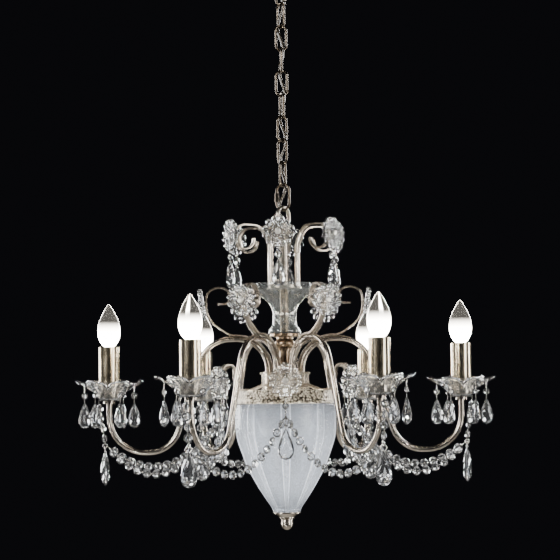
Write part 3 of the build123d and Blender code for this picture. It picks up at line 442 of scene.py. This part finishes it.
standoff = 0.0014 + 0.0008 + 0.004
crown_rosette = (0.0835 + standoff, crown_top - 0.016, 0)
arm_rosette = (0.1205 + standoff, arm_scroll_top - 0.026, 8)
gallery_rosette = (0.110 + standoff, gallery_top - 0.0264, 0)
for tier, azimuths, (radius, level, lean) in (("crown", crown_azimuths, crown_rosette),
                                              ("arm", arm_azimuths, arm_rosette),
                                              ("gallery", gallery_azimuths, gallery_rosette)):
    points, faces = copies(daisy(), [upright(a, radius, level, lean) for a in azimuths])
    daisies = make_piece(f"{tier}_daisies", points, faces, pressed_crystal, "fitting", "clear_crystal")
    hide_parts("rosettes")
bright_wire = satin_plate("bright_pin_wire", "#F2EEE6", "#C9C4BA", 0.16, 5)
finish_nodes(satin_plate("rubbed_bolt_plate", "#F4F1EA", "#D8D3C8", 0.42, 4), "rosette_bolts")

# ---------------------------------------------------------------- swinging drops
# Under every crown daisy an octagon and an almond, and at every arm a large almond, each on a wire ring
# that swings in a fixed ring.  Machine-cut crystal on bent pins.
eye, eye_wire = 0.0015, 0.00045
node_ring, node_wire, drop_ring = 0.003, 0.0008, 0.005
for joint in frame["joints"]:
    name = joint["child"]
    if not name.startswith(("crown_drop", "arm_drop")):
        continue
    x, y, pivot = joint["pos_m"]
    azimuth, radius = np.degrees(np.arctan2(y, x)), np.hypot(x, y)
    if name.startswith("crown_drop"):
        ring_level = pivot + 2 * eye_wire + 0.0003 - eye
        bead_top = ring_level - eye + eye_wire / 2
        top = bead_top - 0.014
        bead_place = upright(azimuth, radius, bead_top - 0.0065, spin=18)
        cut = together(copies(octagon_bead(0.0065, 0.0065), [bead_place]),
                       copies(almond(0.041, 0.023, 0.011), [upright(azimuth, radius, top)]))
        wires = together(copies(ring_shape(eye, eye_wire), [sideways(azimuth, radius, ring_level)]),
                         copies(ring_shape(0.0013, 0.0004), [sideways(azimuth, radius, top + 0.0002)]))
    else:
        ring_level = pivot + 2 * node_wire + 0.0003 - drop_ring
        top = ring_level - drop_ring + node_wire / 2
        cut = copies(almond(0.050, 0.030, 0.013), [upright(azimuth, radius, top)])
        wires = copies(ring_shape(drop_ring, node_wire), [upright(azimuth, radius, ring_level)])
    crystal = make_piece(f"{name}_crystal", *cut, cut_crystal, name, "clear_crystal", smooth=False)
    make_piece(f"{name}_wire", *wires, bright_wire, name, "steel_wire")
    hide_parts(name)


# ---------------------------------------------------------------- candle dishes and their drops
# A dish of clear pressed glass with six broad leaves under every candle cup, with a bead and an almond
# hooked through each leaf on a pin.
def turned_row(reach, angle, level):
    """One row of a turned surface: reach x cos and sin of the angle, at a level."""
    return np.stack([reach * np.cos(angle), reach * np.sin(angle), level + 0 * angle], axis=-1)


def leaf_dish(columns=180):
    """Outline: valley + (tip - valley) x |cos 3 angle| to a power; the wall climbs through shares of its
    reach, each leaf arches across, with veins and a thick rolled edge; rows run out and back underneath."""
    foot, valley, tip, climb, wall = 0.0187, 0.032, 0.052, 0.028, 0.0026
    bore, inset, arch = 0.00425, 0.0008, 0.0022
    angle = np.arange(columns) * 2 * np.pi / columns
    lobe = np.abs(np.cos(3 * angle))
    edge = valley + (tip - valley) * (0.93 * lobe ** 0.75 + 0.07 * lobe ** 14)
    veins = np.cos(30 * angle)
    ways = (0, 0.08, 0.16, 0.26, 0.36, 0.48, 0.6, 0.72, 0.82, 0.9, 0.955, 0.985)
    thick = np.array([1, 1, 1, 0.95, 0.9, 0.85, 0.8, 0.75, 0.8, 1.25, 1.45, 1.2]) * wall
    grid = [turned_row(bore, angle, wall)]
    for side in (1, -1):
        for way, depth in list(zip(ways, thick))[::side]:
            reach = foot + (edge - foot) * way
            far = (reach - foot) / (tip - foot)
            level = climb * np.interp(far, (0, 0.18, 0.45, 0.75, 1), (0, 0.38, 0.7, 0.9, 1))
            level = level + arch * (lobe - 0.6) * way + (depth if side > 0 else wall - depth)
            level = level + 0.0002 * veins * np.sin(np.pi * way) * side
            grid.append(turned_row(reach - inset * (side > 0), angle, level))
        if side > 0:
            lip = climb * np.interp((edge - foot) / (tip - foot), (0.45, 0.75, 1), (0.7, 0.9, 1))
            grid.append(turned_row(edge, angle, lip + arch * (lobe - 0.6) + wall / 2))
    grid.append(turned_row(bore, angle, 0))
    grid.append(grid[0])
    return np.vstack(grid), grid_faces(len(grid), columns, True).tolist()


dish_bottom = hub_top - 0.041
candle_circle = 0.270


def beside_candle(azimuth, angle, reach, level, spin=0.0):
    """The place of an upright shape that faces away from a candle's axis."""
    a = np.radians(azimuth)
    axes, at = upright(azimuth + angle, reach, level, spin=spin)
    return axes, (at[0] + candle_circle * np.cos(a), at[1] + candle_circle * np.sin(a), at[2])


turns = [((np.cos(a), np.sin(a), 0), (-np.sin(a), np.cos(a), 0), (0, 0, 1)) for a in np.radians(arm_azimuths)]
points, faces = copies(leaf_dish(), [(axes, (candle_circle * axes[0][0], candle_circle * axes[0][1], dish_bottom))
                                     for axes in turns])
clear_pressed = crystal_glass("clear_pressed_glass", "#FCFEFE", 0.0, 1.0)
dishes = make_piece("leaf_dishes", points, faces, clear_pressed, "fitting", "clear_crystal")
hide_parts("bobeches")

hook_level = dish_bottom + 0.0251
bead_level = hook_level - 0.017
almond_level = dish_bottom - 0.0034
dish_cuts, dish_wires = [], []
almond_shape, small_bead = almond(0.038, 0.021, 0.010), octagon_bead(0.005, 0.005)
for azimuth in arm_azimuths:
    for k, angle in enumerate(arm_azimuths):
        twist = 90 + 18 * np.sin(azimuth) if k % 3 == 0 else 40 * (-1) ** k
        dish_cuts.append(copies(almond_shape, [beside_candle(azimuth, angle, 0.038, almond_level, twist)]))
        dish_cuts.append(copies(small_bead, [beside_candle(azimuth, angle, 0.038, bead_level, -twist)]))
        axes, at = beside_candle(azimuth, angle, 0.038, 0)
        pin = np.array([(at[0], at[1], level) for level in (hook_level, bead_level, almond_level - 0.001)])
        dish_wires.append(tube(pin, 0.0005, 6, up=(0.0, 1.0, 0.0)))
        dish_wires.append(copies(ring_shape(0.0016, 0.0004, 6, 12),
                                 [beside_candle(azimuth, angle, 0.038, hook_level - 0.0004, 90)]))
dish_drops = make_piece("dish_drops", *together(*dish_cuts), cut_crystal, "fitting", "clear_crystal", smooth=False)
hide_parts("bobeche_drops")
make_piece("dish_drop_pins", *together(*dish_wires), bright_wire, "fitting", "steel_wire")

# ---------------------------------------------------------------- bead swags and bowl drops
# Strings of fourteen-millimetre octagons, each joined to the next by a bent pin: two swags and a short
# strand at every arm, hooked to the drops that hang from the gallery daisies in front of the bowl.
arm_node = np.array([0.277, hub_top - 0.109])
bowl_node = np.array([0.112, hub_top - 0.067])
front_sag, back_sag, bead_radius = 0.063, 0.052, 0.007


def hanging(azimuth, side, count):
    """Evenly spaced points of a parabola that hangs between an arm node and a bowl node."""
    start = standing(np.array([[arm_node[0] - node_ring, arm_node[1]]]), azimuth)[0]
    end = standing(bowl_node[None], azimuth + side * 30)[0]
    share = np.linspace(0, 1, 240)[:, None]
    sag = back_sag if np.sin(np.radians(azimuth + side * 15)) > 0 else front_sag
    curve = start + (end - start) * share - np.array([0, 0, 4 * sag]) * share * (1 - share)
    run = np.r_[0, np.cumsum(np.linalg.norm(np.diff(curve, axis=0), axis=1))]
    even = np.linspace(0, run[-1], count)
    return np.stack([np.interp(even, run, curve[:, k]) for k in range(3)], axis=1)


swag_beads = 14
bead_places, pin_shapes = [], []
for azimuth in arm_azimuths:
    for side in (-1, 1):
        points = hanging(azimuth, side, 2 * swag_beads + 3)
        for k in range(2, 2 * swag_beads + 1, 2):
            along = points[k + 1] - points[k - 1]
            along /= np.linalg.norm(along)
            across = np.cross(along, (0, 0, 1))
            across /= np.linalg.norm(across)
            tilt = np.radians(16 * np.sin(1.9 * k + azimuth + side))
            lift = np.cross(across, along)
            facing = np.cos(tilt) * across + np.sin(tilt) * lift
            bead_places.append(((along, facing, np.cross(along, -facing)), points[k]))
        pin_shapes.append(tube(points, 0.00055, 6))
    top = np.array([0.285, dish_bottom - 0.004])
    foot = arm_node + (0, node_ring)
    for k in range(4):
        radius, level = top + (k + 0.5) / 4 * (foot - top)
        bead_places.append(upright(azimuth, radius, level, spin=25 * (-1) ** k))
    pin_shapes.append(tube(standing(np.stack([top, (top + foot) / 2, foot]), azimuth), 0.00055, 6, (0, 1, 0.1)))
    pin_shapes.append(copies(ring_shape(node_ring, node_wire), [sideways(azimuth, *arm_node)]))
for azimuth in crown_azimuths:
    radius, level, _ = crown_rosette
    pin_shapes.append(copies(ring_shape(eye, eye_wire), [upright(azimuth, radius, level - 0.0243)]))
swags = make_piece("swag_octagons", *copies(octagon_bead(bead_radius, 0.0068), bead_places), cut_crystal,
                   "fitting", "clear_crystal", smooth=False)
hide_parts("garland_beads")
bowl_cuts = []
for azimuth in gallery_azimuths:
    radius, level = bowl_node
    bowl_cuts += [copies(almond(0.046, 0.026, 0.012), [upright(azimuth, radius, level - 0.020)]),
                  copies(octagon_bead(bead_radius, 0.0068), [upright(azimuth, radius, level - 0.010)]),
                  copies(octagon_bead(0.005, 0.005), [upright(azimuth, radius, level + 0.014)])]
    hook = [(radius, gallery_rosette[1] - 0.022), (radius, level), (radius, level - 0.022)]
    pin_shapes.append(tube(standing(np.array(hook), azimuth), 0.0007, 8, (0, 1, 0.1)))
bowl_crystals = make_piece("bowl_drop_crystals", *together(*bowl_cuts), cut_crystal, "fitting", "clear_crystal",
                           smooth=False)
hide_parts("bowl_drops")
pins = make_piece("swag_pins", *together(*pin_shapes), bright_wire, "fitting", "steel_wire")
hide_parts("trim_wires")


# ---------------------------------------------------------------- glass vase
# A thick moulded vase with shallow flutes in its waist and a plain heavy rim, bored in its foot for the
# centre rod.  Faintly grey glass with a slow ripple.
def shell(profile, columns, relief=None, relief_rows=None):
    """A turned wall: rows of (radius, level) turned about the axis, moved out by relief(angle) where
    relief_rows says how much, closed from the last row back to the first."""
    angle = np.arange(columns) * 2 * np.pi / columns
    rows = []
    for k, (radius, level) in enumerate(profile):
        reach = radius + (relief(angle) * relief_rows[k] if relief is not None else 0)
        rows.append(turned_row(reach, angle, level))
    rows.append(rows[0])
    return np.vstack(rows), grid_faces(len(rows), columns, True).tolist()


def rounded_profile(points, count):
    """Even samples of a Catmull-Rom curve through profile points."""
    points = np.array(points, dtype=float)
    ends = np.vstack([2 * points[0] - points[1], points, 2 * points[-1] - points[-2]])
    along = np.linspace(0, len(points) - 1.0001, count)
    k, t = along.astype(int), (along % 1)[:, None]
    a, b, c, d = ends[k], ends[k + 1], ends[k + 2], ends[k + 3]
    return 0.5 * (2 * b + (c - a) * t + (2 * a - 5 * b + 4 * c - d) * t ** 2 + (3 * b - a - 3 * c + d) * t ** 3)


vase_low, vase_high = (np.array(corner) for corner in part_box("glass_vase"))
foot = vase_low[2]
wall = 0.0024
vase_outside = rounded_profile([(0.0243, foot), (0.0248, foot + 0.0045), (0.0228, foot + 0.009),
                                (0.0196, foot + 0.014), (0.0184, foot + 0.026), (0.0196, foot + 0.037),
                                (0.0228, foot + 0.0445), (0.029, foot + 0.052), (0.0361, foot + 0.0575),
                                (0.0462, foot + 0.065), (0.0508, foot + 0.070), (0.0512, vase_high[2] - 0.001),
                                (0.0505, vase_high[2])], 60)
vase_inside = vase_outside[::-1].copy()
vase_inside[:, 0] -= wall
vase_inside[:, 1] = np.maximum(vase_inside[:, 1] - 0.0004, foot + wall)
vase_profile = np.vstack([[(0.00485, foot)], vase_outside, vase_inside, [(0.00485, foot + wall)]])
flute_depth = np.exp(-((vase_profile[:, 1] - foot - 0.026) / 0.016) ** 2)
grey_glass = crystal_glass("grey_moulded_glass", "#F0F4F2", 0.06, 0.93, 12, 0.08)
vase = make_piece("fluted_vase", *shell(vase_profile, 144, lambda a: -0.0006 * np.abs(np.sin(6 * a)), flute_depth),
                  grey_glass, "fitting", "vase_glass")
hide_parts("glass_vase")


# ---------------------------------------------------------------- gallery ring
# A stamped filigree band of crossed leaf waves over a scalloped edge.  It is silvered and aged, so its
# raised grain is bright and the hollows between are dark.
def filigree(columns=480, rows=14):
    """A leaning band whose relief is crossed waves of leaves; its lower edge follows |sin| scallops and
    the wall closes round both edges."""
    low, high = (np.array(corner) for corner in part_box("gallery_ring"))
    angle = np.arange(columns) * 2 * np.pi / columns
    grid = []
    for side in (1, -1):
        for way in (np.linspace(0, 1, rows) if side > 0 else np.linspace(1, 0, rows)):
            scallop = 0.0022 * (1 - np.abs(np.sin(12 * angle)) ** 0.6)
            drop = (high[2] - low[2]) * way - scallop * way ** 3
            leaf = (np.sin(24 * angle + 5 * way * np.pi) * np.sin(24 * angle - 3 * way * np.pi)
                    + 0.6 * np.sin(48 * angle) * np.sin(np.pi * 3 * way))
            reach = 0.0700 + 0.0064 * way + (0.0004 * leaf * np.sin(np.pi * way) if side > 0 else -0.0016)
            reach = reach + (0.0006 if (side > 0 and (way < 0.1 or way > 0.9)) else 0)
            grid.append(turned_row(reach, angle, high[2] - drop))
    grid.append(grid[0])
    return np.vstack(grid), grid_faces(len(grid), columns, True).tolist()


aged_silver, tree = new_material("aged_filigree_silver")
place = add_node(tree, "ShaderNodeTexCoord").outputs["Object"]
grain = add_node(tree, "ShaderNodeTexVoronoi", {"Vector": place, "Scale": 300.0})
tone = add_node(tree, "ShaderNodeValToRGB", {"Fac": grain.outputs["Distance"]})
tone.color_ramp.elements[0].position, tone.color_ramp.elements[0].color = 0.25, linear("#E8DDC8")
tone.color_ramp.elements[1].position, tone.color_ramp.elements[1].color = 0.75, linear("#3E362B")
raised = add_node(tree, "ShaderNodeBump", {"Height": grain.outputs["Distance"], "Strength": 0.9,
                                           "Distance": 0.0016}, invert=True)
metal = add_node(tree, "ShaderNodeBsdfPrincipled", {"Base Color": tone.outputs["Color"], "Metallic": 1.0,
                                                    "Roughness": 0.3, "Normal": raised.outputs["Normal"]})
add_node(tree, "ShaderNodeOutputMaterial", {"Surface": metal.outputs[0]})
band = make_piece("filigree_band", *filigree(), aged_silver, "fitting", "antique_silver")
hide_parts("gallery_ring")

# ---------------------------------------------------------------- bowl
# A blown and ribbed bowl, softly frosted, with eight raised ribs that run from the rim to the foot, held
# up by a spun cap and a turned finial; two small lamps light it from inside, and its glass carries painted
# glow from them, with painted highlights beside the ribs.
bowl_low, bowl_high = (np.array(corner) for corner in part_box("bowl_glass"))
rim, base = bowl_high[2], bowl_low[2]
body_top, body = rim - 0.039, rim - 0.039 - base
bowl_outside = rounded_profile([(0.0757, rim), (0.0758, rim - 0.012), (0.076, rim - 0.027), (0.0757, body_top)] +
                               [(0.076 * share, body_top - down * body) for share, down in
                                ((0.974, 0.1), (0.925, 0.2), (0.852, 0.323), (0.774, 0.45), (0.67, 0.57),
                                 (0.556, 0.695), (0.428, 0.82), (0.318, 0.92), (0.276, 0.97), (0.268, 1))], 80)
bowl_inside = bowl_outside[::-1].copy()
bowl_inside[:, 0] -= 0.003
bowl_inside[:, 1] = np.maximum(bowl_inside[:, 1], base + 0.009)
bowl_profile = np.vstack([[(0.0049, base)], bowl_outside, bowl_inside, [(0.0049, base + 0.009)]])
outside = np.r_[0, np.ones(len(bowl_outside)), np.zeros(len(bowl_inside) + 1)]
rib_rows = outside * np.clip((rim - bowl_profile[:, 1]) / 0.01, 0, 1) * np.clip(bowl_profile[:, 0] / 0.05, 0.3, 1)


def ribs(angle):
    """A rib each 45 degrees, one at the front: a flat crest with a groove on each side."""
    away = np.abs((np.degrees(angle) + 22.5) % 45 - 22.5)
    return 0.0012 * np.exp(-(away / 3.6) ** 4) - 0.0009 * np.exp(-((away - 6.4) / 1.7) ** 2)


# The glass glows by itself: painted glow that stands in for the light of the two lamps inside, flecked by a grain
# noise.
frosted, tree = new_material("frosted_ribbed_glass_painted_glow")
place = add_node(tree, "ShaderNodeTexCoord").outputs["Object"]
where = add_node(tree, "ShaderNodeSeparateXYZ", {"Vector": place})
turned = add_node(tree, "ShaderNodeMath", {0: where.outputs["Y"], 1: where.outputs["X"]}, operation="ARCTAN2")
eighth = add_node(tree, "ShaderNodeMath", {0: turned.outputs[0], 1: 8.0}, operation="MULTIPLY")
crest = add_node(tree, "ShaderNodeMath", {0: eighth.outputs[0]}, operation="COSINE")
# Painted highlights: the glow is brightest in a band a few degrees to each side of every rib crest, and dimmer on
# the crests and between them.
edges = add_node(tree, "ShaderNodeValToRGB", {"Fac": crest.outputs[0]})
ramp = edges.color_ramp
ramp.elements[0].position, ramp.elements[0].color = 0.0, (0.3, 0.3, 0.3, 1)
ramp.elements[1].position, ramp.elements[1].color = 1.0, (0.42, 0.42, 0.42, 1)
for position, value in ((0.62, 0.26), (0.72, 1.0), (0.80, 1.0), (0.88, 0.34)):
    ramp.elements.new(position).color = (value, value, value, 1)
pebble = add_node(tree, "ShaderNodeTexNoise", {"Vector": place, "Scale": 620.0, "Detail": 2})
painted_glow_speckle = add_node(tree, "ShaderNodeMapRange", {"Value": pebble.outputs["Fac"], "From Min": 0.3, "From Max": 0.7,
                                                "To Min": 0.25, "To Max": 1.5})
share = add_node(tree, "ShaderNodeMath", {0: edges.outputs["Color"], 1: painted_glow_speckle.outputs["Result"]},
                 operation="MULTIPLY")
# Painted glow, strongest within 7 cm of a point just above the bowl's middle and fading out to 10 cm.
painted_glow_centre = (0, 0, (rim + base) / 2 + 0.014)
middle = add_node(tree, "ShaderNodeVectorMath", {0: place, 1: painted_glow_centre}, operation="DISTANCE")
painted_glow_falloff = add_node(tree, "ShaderNodeMapRange", {"Value": middle.outputs["Value"], "From Min": 0.07, "From Max": 0.1,
                                             "To Min": 0.95, "To Max": 0.16})
glow = add_node(tree, "ShaderNodeMath", {0: share.outputs[0], 1: painted_glow_falloff.outputs["Result"]}, operation="MULTIPLY")
grain = add_node(tree, "ShaderNodeBump", {"Height": pebble.outputs["Fac"], "Strength": 0.5, "Distance": 0.0006})
glass = add_node(tree, "ShaderNodeBsdfPrincipled", {
    "Base Color": linear("#C2C8CE"), "Roughness": 0.18, "IOR": 1.5, "Transmission Weight": 0.9,
    "Emission Color": linear("#F4F7FF"), "Emission Strength": glow.outputs[0], "Normal": grain.outputs["Normal"]})
add_node(tree, "ShaderNodeOutputMaterial", {"Surface": glass.outputs[0]})
bowl = make_piece("ribbed_bowl", *shell(bowl_profile, 288, ribs, rib_rows), frosted, "fitting", "bowl_glass")
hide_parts("bowl_glass")
finish_nodes(antique_silver, "bowl_cap", "finial")

# ---------------------------------------------------------------- candles and lamps
# Each candle is a metal sleeve in a cup with a rolled rim, over a phenolic lampholder, and carries a
# candle-shaped clear lamp that glows strongest at its foot.  The bowl's two lamps glow evenly.
finish_nodes(satin_plate("champagne_sleeve_plate", "#DCCFB6", "#C6B799", 0.2, 60, stroke=(1, 1, 0.03)),
             "candle_sleeves")
finish_nodes(antique_silver, "candle_cups")
phenolic, tree = new_material("ivory_phenolic")
place = add_node(tree, "ShaderNodeTexCoord").outputs["Object"]
cloud = add_node(tree, "ShaderNodeTexNoise", {"Vector": place, "Scale": 160.0})
tone = add_node(tree, "ShaderNodeValToRGB", {"Fac": cloud.outputs["Fac"]})
tone.color_ramp.elements[0].color, tone.color_ramp.elements[1].color = linear("#D9D1BE"), linear("#E8E2D2")
moulded = add_node(tree, "ShaderNodeBsdfPrincipled", {"Base Color": tone.outputs["Color"], "Roughness": 0.45})
add_node(tree, "ShaderNodeOutputMaterial", {"Surface": moulded.outputs[0]})
finish_nodes(phenolic, "lampholders")


def lit_glass(name, low, high, foot_glow, tip_glow):
    """Lamp glass with a glow that goes from foot_glow at the low level to tip_glow at the high one."""
    material, tree = new_material(name)
    place = add_node(tree, "ShaderNodeTexCoord").outputs["Object"]
    level = add_node(tree, "ShaderNodeSeparateXYZ", {"Vector": place}).outputs["Z"]
    glow = add_node(tree, "ShaderNodeMapRange", {"Value": level, "From Min": low, "From Max": high,
                                                 "To Min": foot_glow, "To Max": tip_glow},
                    interpolation_type="SMOOTHSTEP")
    glass = add_node(tree, "ShaderNodeBsdfPrincipled", {
        "Base Color": linear("#FFFFFF"), "Roughness": 0.0, "IOR": 1.12, "Transmission Weight": 1.0,
        "Specular IOR Level": 1.0,
        "Emission Color": linear("#FFF8EA"), "Emission Strength": glow.outputs["Result"]})
    add_node(tree, "ShaderNodeOutputMaterial", {"Surface": glass.outputs[0]})
    return material


bulb_low, bulb_high = (np.array(corner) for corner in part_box("bulb_1"))
seat = bulb_low[2] + 0.024
lamp_height = bulb_high[2] - seat
lamp_glass = lit_glass("lit_lamp_glass", seat + 0.12 * lamp_height, seat + 0.6 * lamp_height, 20.0, 0.06)
lamp_profile = np.vstack([
    [(0.0001, bulb_low[2] + 0.0002), (0.0066, bulb_low[2] + 0.0004), (0.0068, bulb_low[2] + 0.002)],
    rounded_profile([(0.0068, seat), (0.0106, seat + 0.05 * lamp_height), (0.01435, seat + 0.14 * lamp_height),
                     (0.0168, seat + 0.25 * lamp_height), (0.0175, seat + 0.37 * lamp_height),
                     (0.0168, seat + 0.49 * lamp_height), (0.01488, seat + 0.61 * lamp_height),
                     (0.0115, seat + 0.73 * lamp_height), (0.00735, seat + 0.85 * lamp_height),
                     (0.0040, seat + 0.935 * lamp_height), (0.0018, seat + 0.98 * lamp_height),
                     (0.0001, bulb_high[2] - 0.0002)], 40)])
for number, azimuth in enumerate(arm_azimuths, start=1):
    angle = np.arange(40) * 2 * np.pi / 40
    rows = np.stack([lamp_profile[:, :1] * np.cos(angle), lamp_profile[:, :1] * np.sin(angle),
                     np.repeat(lamp_profile[:, 1:], 40, axis=1)], axis=-1)
    rows += np.array([candle_circle * np.cos(np.radians(azimuth)), candle_circle * np.sin(np.radians(azimuth)), 0])
    lamp = make_piece(f"candle_lamp_{number}", rows, capped_faces(len(lamp_profile), 40), lamp_glass,
                      f"bulb_{number}", "lamp_glass")
    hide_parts(f"bulb_{number}")
finish_nodes(lit_glass("frosted_bowl_lamp", base, rim, 22.0, 22.0), "bowl_lamps")

# ---------------------------------------------------------------- floor, light and camera
# A pale floor far below, four large soft lights, two strips and three small lights that draw highlights
# on the crystal, and a long lens a little below the candles.
floor_mesh = bpy.data.meshes.new("floor")
floor_mesh.from_pydata([(-4, -4, -3.4), (4, -4, -3.4), (4, 4, -3.4), (-4, 4, -3.4)], [], [(0, 1, 2, 3)])
floor = bpy.data.objects.new("floor", floor_mesh)
bpy.context.scene.collection.objects.link(floor)
pale, tree = new_material("pale_matt_floor")
matt = add_node(tree, "ShaderNodeBsdfPrincipled", {"Base Color": linear("#D8D6D2"), "Roughness": 0.8})
add_node(tree, "ShaderNodeOutputMaterial", {"Surface": matt.outputs[0]})
floor_mesh.materials.append(pale)

target = Vector((0, 0, hub_top))
lights = (("key", (-2.2, -2.4, 0.6), 1.2, 1.2, 80), ("fill", (2.4, -2.0, -0.6), 0.8, 1.6, 40),
          ("back_right", (1.6, 2.4, 0.2), 1.0, 1.0, 70), ("back_left", (-1.8, 2.2, -0.2), 0.8, 1.2, 60),
          ("strip_left", (-1.8, 0.6, -0.8), 0.12, 1.6, 30), ("strip_right", (1.9, 0.4, -0.9), 0.12, 1.6, 30),
          ("point_low", (-0.7, -1.6, -2.0), 0.1, 0.1, 10), ("point_high", (0.9, -1.8, 0.3), 0.1, 0.1, 12),
          ("point_side", (-1.5, -1.2, -1.1), 0.08, 0.08, 8))
for name, place, width, height, power in lights:
    light = bpy.data.lights.new(name, "AREA")
    light.shape, light.size, light.size_y, light.energy = "RECTANGLE", width, height, power
    stand = bpy.data.objects.new(name, light)
    stand.location = place
    stand.rotation_euler = (target - stand.location).to_track_quat("-Z", "Y").to_euler()
    bpy.context.scene.collection.objects.link(stand)
world = bpy.data.worlds.new("studio")
world.use_nodes = True
world.node_tree.nodes["Background"].inputs["Color"].default_value = (0.004, 0.004, 0.005, 1)
bpy.context.scene.world = world

camera_data = bpy.data.cameras.new("camera")
camera_data.lens, camera_data.sensor_width = 140.9, 36
camera = bpy.data.objects.new("camera", camera_data)
pitch, pan, roll = np.radians(3.97), np.radians(0.105), np.radians(-0.7)
camera.matrix_world = (Matrix.Translation((0, -3.365, hub_top - 0.0915)) @ Matrix.Rotation(pan, 4, "Z")
                       @ Matrix.Rotation(np.pi / 2 + pitch, 4, "X") @ Matrix.Rotation(roll, 4, "Z"))
bpy.context.scene.collection.objects.link(camera)
bpy.context.scene.camera = camera
